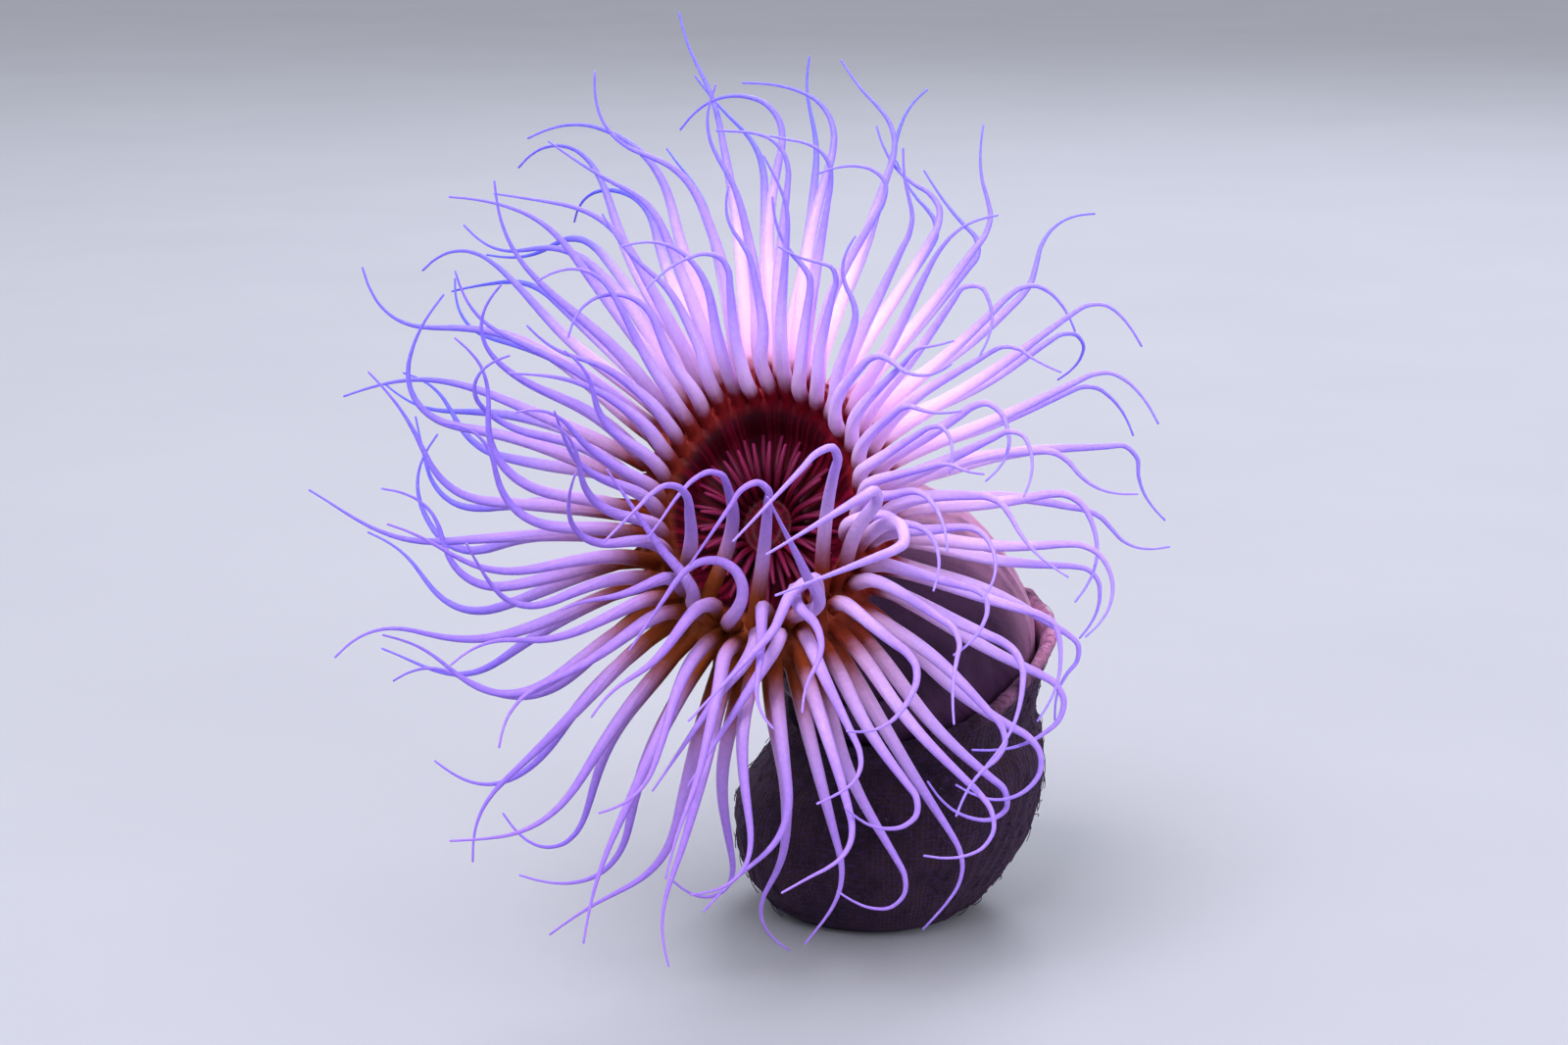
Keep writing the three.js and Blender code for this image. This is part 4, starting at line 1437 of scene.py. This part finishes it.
class Board:
    """A material's node tree, with short ways to add and join its nodes."""

    def __init__(self, name: str) -> None:
        """Starts a material with one main shader.

        Args:
            name: The material's name.
        """
        self.material = bpy.data.materials.new(name)
        self.material.use_nodes = True
        self.tree = self.material.node_tree
        self.shader = self.tree.nodes["Principled BSDF"]
        self.place = self.tree.nodes.new("ShaderNodeTexCoord").outputs["Object"]

    def join(self, source: object, target: bpy.types.NodeSocket) -> None:
        """Sets an input from a socket or a plain value.

        Args:
            source: A socket or a plain value.
            target: The input.
        """
        if isinstance(source, bpy.types.NodeSocket):
            self.tree.links.new(source, target)
        else:
            target.default_value = source

    def put(self, name: str, source: object) -> None:
        """Sets one input of the main shader."""
        self.join(source, self.shader.inputs[name])

    def read(self, name: str) -> bpy.types.NodeSocket:
        """An attribute of the piece.

        Args:
            name: The attribute's name.

        Returns:
            Its value.
        """
        node = self.tree.nodes.new("ShaderNodeAttribute")
        node.attribute_name = name
        return node.outputs["Fac"]

    def math(self, operation: str, a: object, b: object = 0.0) -> bpy.types.NodeSocket:
        """Arithmetic on one or two values.

        Args:
            operation: The kind of arithmetic.
            a: The first value.
            b: The second value.

        Returns:
            The result.
        """
        node = self.tree.nodes.new("ShaderNodeMath")
        node.operation = operation
        self.join(a, node.inputs[0])
        self.join(b, node.inputs[1])
        return node.outputs[0]

    def vector(self, operation: str, a: object, b: object = (0, 0, 0)) -> bpy.types.NodeSocket:
        """Arithmetic on one or two vectors.

        Args:
            operation: The kind of arithmetic.
            a: The first vector.
            b: The second vector.

        Returns:
            The result.
        """
        node = self.tree.nodes.new("ShaderNodeVectorMath")
        node.operation = operation
        self.join(a, node.inputs[0])
        self.join(b, node.inputs[1])
        return node.outputs[0]

    def mapped(self, centre: Colour, euler: Colour, stretch: Colour = (1, 1, 1)) -> bpy.types.NodeSocket:
        """Object coordinates as seen from a frame of their own.

        Args:
            centre: The frame's origin in metres.
            euler: Its turn in radians.
            stretch: Its scale along each axis.

        Returns:
            The coordinates in that frame.
        """
        node = self.tree.nodes.new("ShaderNodeMapping")
        node.vector_type = "TEXTURE"
        self.join(self.place, node.inputs["Vector"])
        node.inputs["Location"].default_value = centre
        node.inputs["Rotation"].default_value = euler
        node.inputs["Scale"].default_value = stretch
        return node.outputs[0]

    def noise(
        self, scale: float, detail: float = 3.0, source: object = None, roughness: float = 0.55
    ) -> bpy.types.NodeSocket:
        """Noise from 0 to 1, about one half.

        Args:
            scale: How many lumps there are to a metre.
            detail: How many finer layers are added.
            source: Coordinates other than the object's own.
            roughness: How strong the finer layers are.

        Returns:
            The noise.
        """
        node = self.tree.nodes.new("ShaderNodeTexNoise")
        self.join(source or self.place, node.inputs["Vector"])
        node.inputs["Scale"].default_value = scale
        node.inputs["Detail"].default_value = detail
        node.inputs["Roughness"].default_value = roughness
        return node.outputs["Fac"]

    def drift(self, noise: bpy.types.NodeSocket, size: float) -> bpy.types.NodeSocket:
        """Noise moved about zero, as wide as told."""
        return self.math("MULTIPLY", self.math("SUBTRACT", noise, 0.5), size)

    def ramp(self, value: object, stops: tuple[tuple[float, Colour], ...]) -> bpy.types.NodeSocket:
        """A colour for each value.

        Args:
            value: Where on the ramp, 0 to 1.
            stops: Places on the ramp and their colours.

        Returns:
            The colour.
        """
        node = self.tree.nodes.new("ShaderNodeValToRGB")
        self.join(value, node.inputs[0])
        ramp = node.color_ramp
        while len(ramp.elements) < len(stops):
            ramp.elements.new(0.5)
        for element, (place, colour) in zip(ramp.elements, stops):
            element.position = place
            element.color = (*colour, 1.0)
        return node.outputs["Color"]

    def scaled(
        self, value: object, low: float, high: float, to: tuple[float, float] = (0.0, 1.0)
    ) -> bpy.types.NodeSocket:
        """Maps a range of values smoothly to another.

        Args:
            value: What is mapped.
            low: The value that gives the first result.
            high: The value that gives the second result.
            to: The two results.

        Returns:
            The result, held at both ends.
        """
        node = self.tree.nodes.new("ShaderNodeMapRange")
        node.interpolation_type = "SMOOTHSTEP"
        self.join(value, node.inputs[0])
        for k, bound in enumerate((low, high, *to)):
            node.inputs[k + 1].default_value = bound
        return node.outputs[0]

    def mix(self, share: object, a: object, b: object, blend: str = "MIX") -> bpy.types.NodeSocket:
        """Mixes two colours.

        Args:
            share: How much of the second colour.
            a: The first colour.
            b: The second colour.
            blend: How they are mixed.

        Returns:
            The colour.
        """
        node = self.tree.nodes.new("ShaderNodeMix")
        node.data_type = "RGBA"
        node.blend_type = blend
        self.join(share, node.inputs[0])
        for source, target in ((a, node.inputs[6]), (b, node.inputs[7])):
            self.join((*source, 1.0) if isinstance(source, tuple) else source, target)
        return node.outputs[2]

    def bump(self, height: object, distance: float, strength: float = 1.0) -> None:
        """Raises the surface by a height, on top of what was raised before.

        Args:
            height: How far up each place is, 0 to 1.
            distance: What 1 stands for, in metres.
            strength: How much of the relief shows.
        """
        node = self.tree.nodes.new("ShaderNodeBump")
        node.inputs["Distance"].default_value = distance
        node.inputs["Strength"].default_value = strength
        self.join(height, node.inputs["Height"])
        before = self.shader.inputs["Normal"]
        if before.is_linked:
            self.tree.links.new(before.links[0].from_socket, node.inputs["Normal"])
        self.tree.links.new(node.outputs[0], self.shader.inputs["Normal"])


@dataclass(frozen=True)
class FleshFinish:
    """Moist flesh. Colours are linear; stops run from a tentacle's root to its tip.

    Spans and fringes are shares of a tentacle's length; depth, grain and streak height are millimetres.
    """

    # the pale stops near the root are partly the tentacles' own pale pink and partly painted light from
    # above, which stays on the upper tentacles while the dim violet mixed in by warmth darkens the lower
    # ones
    stops: tuple[tuple[float, Colour], ...] = (
        (0.0, (0.95, 0.46, 0.68)),
        (0.10, (0.96, 0.66, 0.94)),
        (0.30, (0.78, 0.54, 0.94)),
        (0.55, (0.44, 0.29, 0.87)),
        (0.80, (0.33, 0.24, 0.86)),
        (1.0, (0.26, 0.21, 0.86)),
    )
    peach: Colour = (0.40, 0.17, 0.25)
    # painted shade: a dim violet that darkens the lower tentacles
    lower_shade: Colour = (0.25, 0.125, 0.44)
    orange: Colour = (0.20, 0.045, 0.011)
    crimson: Colour = (0.26, 0.007, 0.020)
    disc_dark: Colour = (0.030, 0.0006, 0.004)
    disc_streak: Colour = (0.14, 0.003, 0.018)
    labial_tip: Colour = (0.19, 0.014, 0.070)
    # the column's dark mauve is partly its own colour and partly painted shade under the crown
    column_mauve: Colour = (0.055, 0.021, 0.056)
    column_dark: Colour = (0.018, 0.006, 0.019)
    # painted light: pink on the column's lit upper side
    column_lit_pink: Colour = (0.50, 0.22, 0.40)
    cool: Colour = (0.09, 0.10, 0.70)
    lower_shade_share: float = 0.8
    peach_share: float = 0.8
    peach_span: tuple[float, float] = (0.40, 0.05)
    cool_span: tuple[float, float] = (0.12, 0.85)
    patchy: float = 0.10
    fringe: float = 0.15
    fringe_low: float = 0.30
    fringe_soft: float = 0.4
    jagged: float = 0.05
    roughness: tuple[float, float] = (0.34, 0.5)
    depth: float = 2.0
    softness: float = 0.4
    scatter: Colour = (1.0, 0.55, 0.9)
    wet: float = 0.02
    shine: float = 0.07
    grain: float = 0.10
    streak_height: float = 0.25

    def dress(self, crown: Crown) -> bpy.types.Material:
        """Makes the material.

        Args:
            crown: The crown, whose axis the streaks of the disc follow.

        Returns:
            The flesh.
        """
        board = Board("moist_flesh")
        patchy, fine = board.noise(95.0, 4.0), board.noise(900.0, 2.0)
        colour = self.tentacle(board, patchy)
        streaks = self.streaks(board, crown)
        disc = board.read("disc")
        dark = board.mix(streaks, self.disc_dark, self.disc_streak)
        dark = board.mix(board.scaled(board.read("along"), 0.1, 1.1, (0.0, 0.7)), dark, self.labial_tip)
        colour = board.mix(disc, colour, dark)
        colour = board.mix(board.read("column"), colour, self.body(board))
        speckle = board.scaled(fine, 0.35, 0.75, (0.0, 0.18))
        board.put("Base Color", board.mix(speckle, colour, (1.0, 0.92, 1.0), "SOFT_LIGHT"))
        board.put("Roughness", board.scaled(patchy, 0.2, 0.8, self.roughness))
        board.put("Specular IOR Level", self.shine)
        board.put("Subsurface Weight", self.softness)
        board.put("Subsurface Radius", self.scatter)
        board.put("Subsurface Scale", self.depth * MM)
        board.put("Coat Weight", self.wet)
        board.put("Coat Roughness", 0.3)
        board.bump(board.noise(420.0, 3.0), self.grain * MM)
        board.bump(streaks, self.streak_height * MM, 0.6)
        return board.material

    def tentacle(self, board: Board, patchy: bpy.types.NodeSocket) -> bpy.types.NodeSocket:
        """The tentacles' colour, from the dark fringe at their roots to their tips.

        Args:
            board: The material.
            patchy: Soft noise that breaks up the borders.

        Returns:
            The colour.
        """
        along, warm = board.read("along"), board.read("warm")
        drift = board.drift(patchy, self.patchy)
        place = board.math("ADD", along, drift)
        colour = board.ramp(place, self.stops)
        # painted shade: the lower tentacles are darkened towards a dim violet by their warmth
        colour = board.mix(board.math("MULTIPLY", warm, self.lower_shade_share), colour, self.lower_shade)
        glow = board.math("MULTIPLY", board.scaled(along, *self.peach_span), warm)
        colour = board.mix(board.math("MULTIPLY", glow, self.peach_share), colour, self.peach)
        chill = board.math("MULTIPLY", board.read("cool"), board.scaled(place, *self.cool_span))
        colour = board.mix(chill, colour, self.cool)
        reach = board.math("ADD", board.math("MULTIPLY", warm, self.fringe_low - self.fringe), self.fringe)
        reach = board.math("MULTIPLY", reach, board.math("MAXIMUM", board.read("fringe"), 0.05))
        jagged = board.drift(board.noise(330.0, 2.0), self.jagged)
        drift = board.math("ADD", board.math("MULTIPLY", drift, 0.35), jagged)
        edge = board.math("DIVIDE", board.math("ADD", along, drift), reach)
        root = board.mix(warm, self.crimson, self.orange)
        return board.mix(board.scaled(edge, 1.0, self.fringe_soft), colour, root)

    def streaks(self, board: Board, crown: Crown) -> bpy.types.NodeSocket:
        """Streaks that run out from the mouth.

        Args:
            board: The material.
            crown: The crown.

        Returns:
            How light the streaks are, 0 to 1.
        """
        axes = Matrix((crown.side, crown.up, crown.axis)).transposed().to_euler()
        local = board.mapped(tuple(MM * c for c in crown.centre), tuple(axes))
        flat = board.vector("MULTIPLY", local, (1, 1, 0))
        spread = board.vector("NORMALIZE", flat)
        return board.scaled(board.noise(16.0, 3.0, spread, 0.7), 0.46, 0.68)

    def body(self, board: Board) -> bpy.types.NodeSocket:
        """The column's colour: dark mauve, partly its own and partly painted shade under the crown, with
        painted light in pink on its upper side, and worn furrows.

        Args:
            board: The material.

        Returns:
            The colour.
        """
        shade = board.scaled(board.noise(34.0, 4.0), 0.3, 0.7)
        colour = board.mix(shade, self.column_dark, self.column_mauve)
        lit = board.math("MULTIPLY", board.read("painted_light"), board.scaled(board.noise(60.0, 3.0), 0.05, 0.5))
        # painted light: pink mixed in on the column's lit upper side
        colour = board.mix(lit, colour, self.column_lit_pink)
        worn = board.scaled(board.noise(110.0, 2.0), 0.3, 0.7, (0.15, 0.6))
        groove = board.math("MULTIPLY", board.read("furrow"), worn)
        return board.mix(groove, colour, self.column_mauve)


@dataclass(frozen=True)
class FeltFinish:
    """Matted felt of threads and silt, dull and dark. Heights are in millimetres."""

    dark: Colour = (0.007, 0.002, 0.008)
    brown: Colour = (0.026, 0.010, 0.015)
    violet: Colour = (0.030, 0.010, 0.054)
    silt: Colour = (0.13, 0.07, 0.16)
    # painted light: pink on the lit side of the rolled edge
    edge: Colour = (0.46, 0.18, 0.33)
    sheen: Colour = (0.62, 0.36, 0.78)
    shine: float = 0.2
    fuzz: float = 0.08
    thread_turns: float = 180.0
    stitches: float = 5.2
    middle: Colour = (5.5, 1.0, 0.0)
    strand_height: float = 0.5
    thread_height: float = 0.28
    grain: float = 0.2

    def dress(self) -> bpy.types.Material:
        """Makes the felt.

        Returns:
            The felt.
        """
        board = Board("matted_felt")
        lumps, grain = board.noise(70.0, 5.0), board.noise(1500.0, 3.0)
        strands = board.noise(420.0, 4.0, board.mapped((0, 0, 0), (0, 0, 0), (1, 1, 0.35)))
        colour = board.mix(board.scaled(lumps, 0.35, 0.68), self.dark, self.brown)
        colour = board.mix(board.scaled(strands, 0.45, 0.75, (0.0, 0.8)), colour, self.violet)
        # painted light: the edge colour, where the lit side reaches over the rolled edge
        rim = board.math("MULTIPLY", board.read("edge"), board.scaled(lumps, 0.3, 0.6))
        colour = board.mix(rim, colour, self.edge)
        colour = board.mix(board.scaled(grain, 0.62, 0.74, (0.0, 0.5)), colour, self.silt)
        threads = self.threads(board)
        threads = board.math("MULTIPLY", threads, board.scaled(lumps, 0.38, 0.6))
        colour = board.mix(board.math("MULTIPLY", threads, 0.4), colour, self.violet)
        board.put("Base Color", colour)
        board.put("Roughness", board.scaled(grain, 0.3, 0.7, (0.82, 1.0)))
        board.put("Specular IOR Level", self.shine)
        board.put("Sheen Weight", self.fuzz)
        board.put("Sheen Roughness", 0.6)
        board.put("Sheen Tint", (*self.sheen, 1.0))
        board.bump(strands, self.strand_height * MM)
        board.bump(threads, self.thread_height * MM)
        board.bump(grain, self.grain * MM)
        return board.material

    def threads(self, board: Board) -> bpy.types.NodeSocket:
        """Threads that run up the tube, broken into stitches.

        Args:
            board: The material.

        Returns:
            How far a thread stands up, 0 to 1.
        """
        parts = board.tree.nodes.new("ShaderNodeSeparateXYZ")
        middle = tuple(MM * c for c in self.middle)
        board.join(board.vector("SUBTRACT", board.place, middle), parts.inputs[0])
        x, y, z = parts.outputs
        sway = board.math("MULTIPLY", board.noise(60.0, 3.0), 9.0)
        around = board.math("MULTIPLY", board.math("ARCTAN2", y, x), self.thread_turns)
        ribs = board.math("SINE", board.math("ADD", around, sway))
        beads = board.math("SINE", board.math("ADD", board.math("MULTIPLY", z, self.stitches / MM), sway))
        return board.scaled(board.math("ADD", ribs, board.math("MULTIPLY", beads, 0.6)), 0.1, 1.2)


@dataclass(frozen=True)
class FloorFinish:
    """A plain pale floor with the faintest mottle."""

    pale: Colour = (0.27, 0.28, 0.31)
    paler: Colour = (0.30, 0.31, 0.34)

    def dress(self) -> bpy.types.Material:
        """Makes the floor's finish.

        Returns:
            The floor's finish.
        """
        board = Board("pale_floor")
        board.put("Base Color", board.mix(board.noise(6.0, 3.0), self.pale, self.paler))
        board.put("Roughness", 0.9)
        return board.material


# ---- Studio ---------------------------------------------------------------------------------------


@dataclass(frozen=True)
class Lamp:
    """A soft square light. Metres and watts; it looks at the crown, or straight down."""

    name: str
    place: tuple[float, float, float]
    size: float
    power: float
    colour: Colour = (1.0, 1.0, 1.0)
    down: bool = False


@dataclass(frozen=True)
class Studio:
    """Floor, lights and camera. The target and the distance are in millimetres, the rest in metres."""

    target: tuple[float, float, float] = (-23.0, -50.0, 113.8)
    distance: float = 850.0
    fall: float = 12.0
    lens: float = 80.0
    sensor: float = 36.0
    clip: tuple[float, float] = (0.01, 50.0)
    floor_half: float = 7.0
    world: Colour = (0.32, 0.32, 0.37)
    lamps: tuple[Lamp, ...] = (
        Lamp("key", (-0.7, -1.5, 2.1), 1.0, 78.0, (0.97, 0.94, 1.0)),
        Lamp("fill", (1.5, -1.9, 0.9), 1.3, 26.0, (0.92, 0.9, 1.0)),
        Lamp("back", (0.5, 1.8, 1.7), 1.0, 36.0, (0.9, 0.9, 1.0)),
        Lamp("ceiling", (0.0, 0.0, 4.0), 20.0, 1060.0, (0.96, 0.96, 1.0), True),
    )

    def build(self) -> None:
        """Makes the floor, the lights, the world and the camera."""
        scene = bpy.context.scene
        half = self.floor_half
        mesh = bpy.data.meshes.new("floor")
        corners = [(-half, -half, 0), (half, -half, 0), (half, half, 0), (-half, half, 0)]
        mesh.from_pydata(corners, [], [(0, 1, 2, 3)])
        mesh.materials.append(FloorFinish().dress())
        added("floor", mesh)
        target = Vector(self.target) * MM
        for lamp in self.lamps:
            light = bpy.data.lights.new(lamp.name, "AREA")
            light.size, light.energy, light.color = lamp.size, lamp.power, lamp.colour
            holder = added(lamp.name, light)
            holder.location = lamp.place
            away = Vector((0, 0, 1)) if lamp.down else Vector(lamp.place) - target
            holder.rotation_euler = away.to_track_quat("Z", "Y").to_euler()
        world = bpy.data.worlds.new("studio_air")
        world.use_nodes = True
        world.node_tree.nodes["Background"].inputs[0].default_value = (*self.world, 1.0)
        scene.world = world
        lens = bpy.data.cameras.new("camera")
        lens.lens, lens.sensor_width, lens.sensor_fit = self.lens, self.sensor, "HORIZONTAL"
        lens.clip_start, lens.clip_end = self.clip
        camera = added("camera", lens)
        fall = math.radians(self.fall)
        away = Vector((0, -math.cos(fall), math.sin(fall)))
        camera.location = target + away * self.distance * MM
        camera.rotation_euler = away.to_track_quat("Z", "Y").to_euler()
        scene.camera = camera
        scene.view_settings.view_transform = "Standard"
        LOG.info("studio: floor, %d lights and camera", len(self.lamps))


def main() -> None:
    """Builds the anemone and its studio, piece by piece."""
    logging.basicConfig(level=logging.INFO, format="%(name)s: %(message)s")
    crown, rule, column = Crown(), TentacleRule(), Column()
    skin = FleshSkin(crown, rule, Labials(), column).build(FleshFinish().dress(crown))
    flesh = [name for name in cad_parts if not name.startswith("tube_")]
    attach(skin, BODY)
    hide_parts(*flesh)
    felt = FeltFinish().dress()
    tube_maker = FeltTube(crown, column)
    tube = tube_maker.build(felt)
    fluff = tube_maker.fluff(tube, felt)
    for piece in (tube, fluff):
        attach(piece, BODY)
    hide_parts("tube_lower", "tube_upper", "tube_rim")
    Studio().build()


if __name__ == "__main__":
    main()
